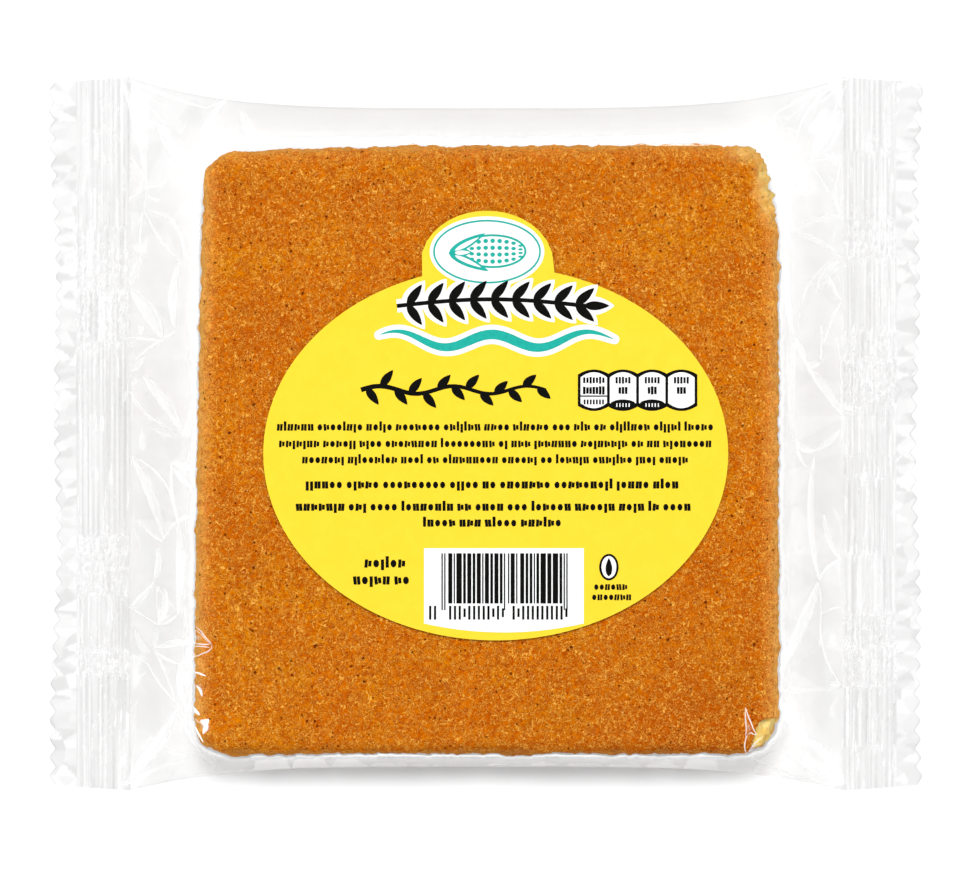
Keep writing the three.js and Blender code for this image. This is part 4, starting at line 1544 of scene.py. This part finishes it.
# %% Four arched boxes
BOX_LEFT, BOX_PITCH, BOX_LOW, BOX_HIGH = 18.1, 5.7, 4.5, 12.6
BOX_LINE, BOX_ARCH = 0.54, 1.0


def arched(ink, middle, half, low, high, layer):
    """A box with straight sides whose top and bottom are shallow arcs."""
    sag = lambda t: BOX_ARCH * (2 * t - 1) ** 2
    ink.field(middle - half, middle + half, lambda t: low + sag(t), lambda t: high - sag(t), 14, layer)


for number in range(4):
    middle = BOX_LEFT + BOX_PITCH * (number + 0.5)
    arched(black, middle, BOX_PITCH / 2 + BOX_LINE / 2, BOX_LOW, BOX_HIGH, 1)
    arched(white, middle, (BOX_PITCH - BOX_LINE) / 2, BOX_LOW + BOX_LINE, BOX_HIGH - BOX_LINE, 2)
    for row, (height, weight) in enumerate(((1.25, 0.42), (1.50, 0.50))):
        for mark in range(-3, 4):
            if number > 0 and abs(mark) > 2 - row * 0.5:
                continue
            y = BOX_HIGH - 2.1 - 2.0 * row
            black.bar(middle + mark * 0.62, y, weight, height * print_source.uniform(0.8, 1.1), layer=3)
    if number == 0:
        black.bar(middle, BOX_LOW + 2.9, BOX_PITCH - BOX_LINE, 0.26, layer=3)
        for mark in range(-3, 4):
            black.bar(middle + mark * 0.6, BOX_LOW + 1.75, 0.34, 0.95, layer=3)
    if number in (1, 2):
        black.oval(middle, BOX_LOW + 1.15, (BOX_PITCH - BOX_LINE) / 2, 1.1, layer=3)
        for mark in range(-2, 3):
            white.bar(middle + mark * 0.6, BOX_LOW + 1.15, 0.22, 0.7, layer=4)


# %% A white panel of bars, and a small drop
PANEL_LEFT, PANEL_RIGHT, PANEL_TOP, PANEL_BOTTOM = -12.2, 19.0, -22.3, -37.0
BARS_LEFT, BARS_RIGHT, BARS_TOP, BARS_BOTTOM = -8.8, 16.3, -23.3, -33.1
MODULE, PANEL_BELLY, MIDDLE_BAR = 0.265, 1.75, 3.7
DIGIT_Y, DIGIT_PITCH, DIGIT_HEIGHT, DIGIT_WEIGHT = -34.9, 1.87, 2.7, 0.44
DROP_X, DROP_Y = 23.9, -26.0

white.field(
    PANEL_LEFT, PANEL_RIGHT,
    lambda t: PANEL_BOTTOM - PANEL_BELLY * (1 - (2 * t - 1) ** 2), lambda t: PANEL_TOP, steps=24,
)
x = BARS_LEFT
while x < BARS_RIGHT - MODULE:
    modules = print_source.choice((1, 2, 2, 3, 4))
    at_end = x < BARS_LEFT + 3 * MODULE or x > BARS_RIGHT - 5 * MODULE
    long_bar = at_end or abs(x - MIDDLE_BAR) < 1.5 * MODULE
    width = MODULE * (1 if long_bar else modules)
    bottom = BARS_BOTTOM - (1.3 if long_bar else 0.0)
    black.bar(x + width / 2, (BARS_TOP + bottom) / 2, width, BARS_TOP - bottom, layer=2)
    x += width + MODULE * print_source.choice((1, 1, 1, 1, 2))
for start, count in ((-11.4, 1), (-7.5, 6), (4.9, 6)):
    for mark in range(count):
        left = start + mark * DIGIT_PITCH
        black.bar(left + 0.4, DIGIT_Y, DIGIT_WEIGHT, DIGIT_HEIGHT, layer=2)
        black.bar(left + 1.35, DIGIT_Y, DIGIT_WEIGHT, print_source.choice((DIGIT_HEIGHT, 1.7)), layer=2)
black.oval(DROP_X, DROP_Y, 1.9, 2.6, layer=1)
white.oval(DROP_X, DROP_Y, 1.45, 2.15, layer=2)
black.leaf(DROP_X, DROP_Y - 1.8, 3.6, 1.3, math.pi / 2, layer=3)

# %% The three inks become pieces
white.finish()
teal.finish()
black.finish()
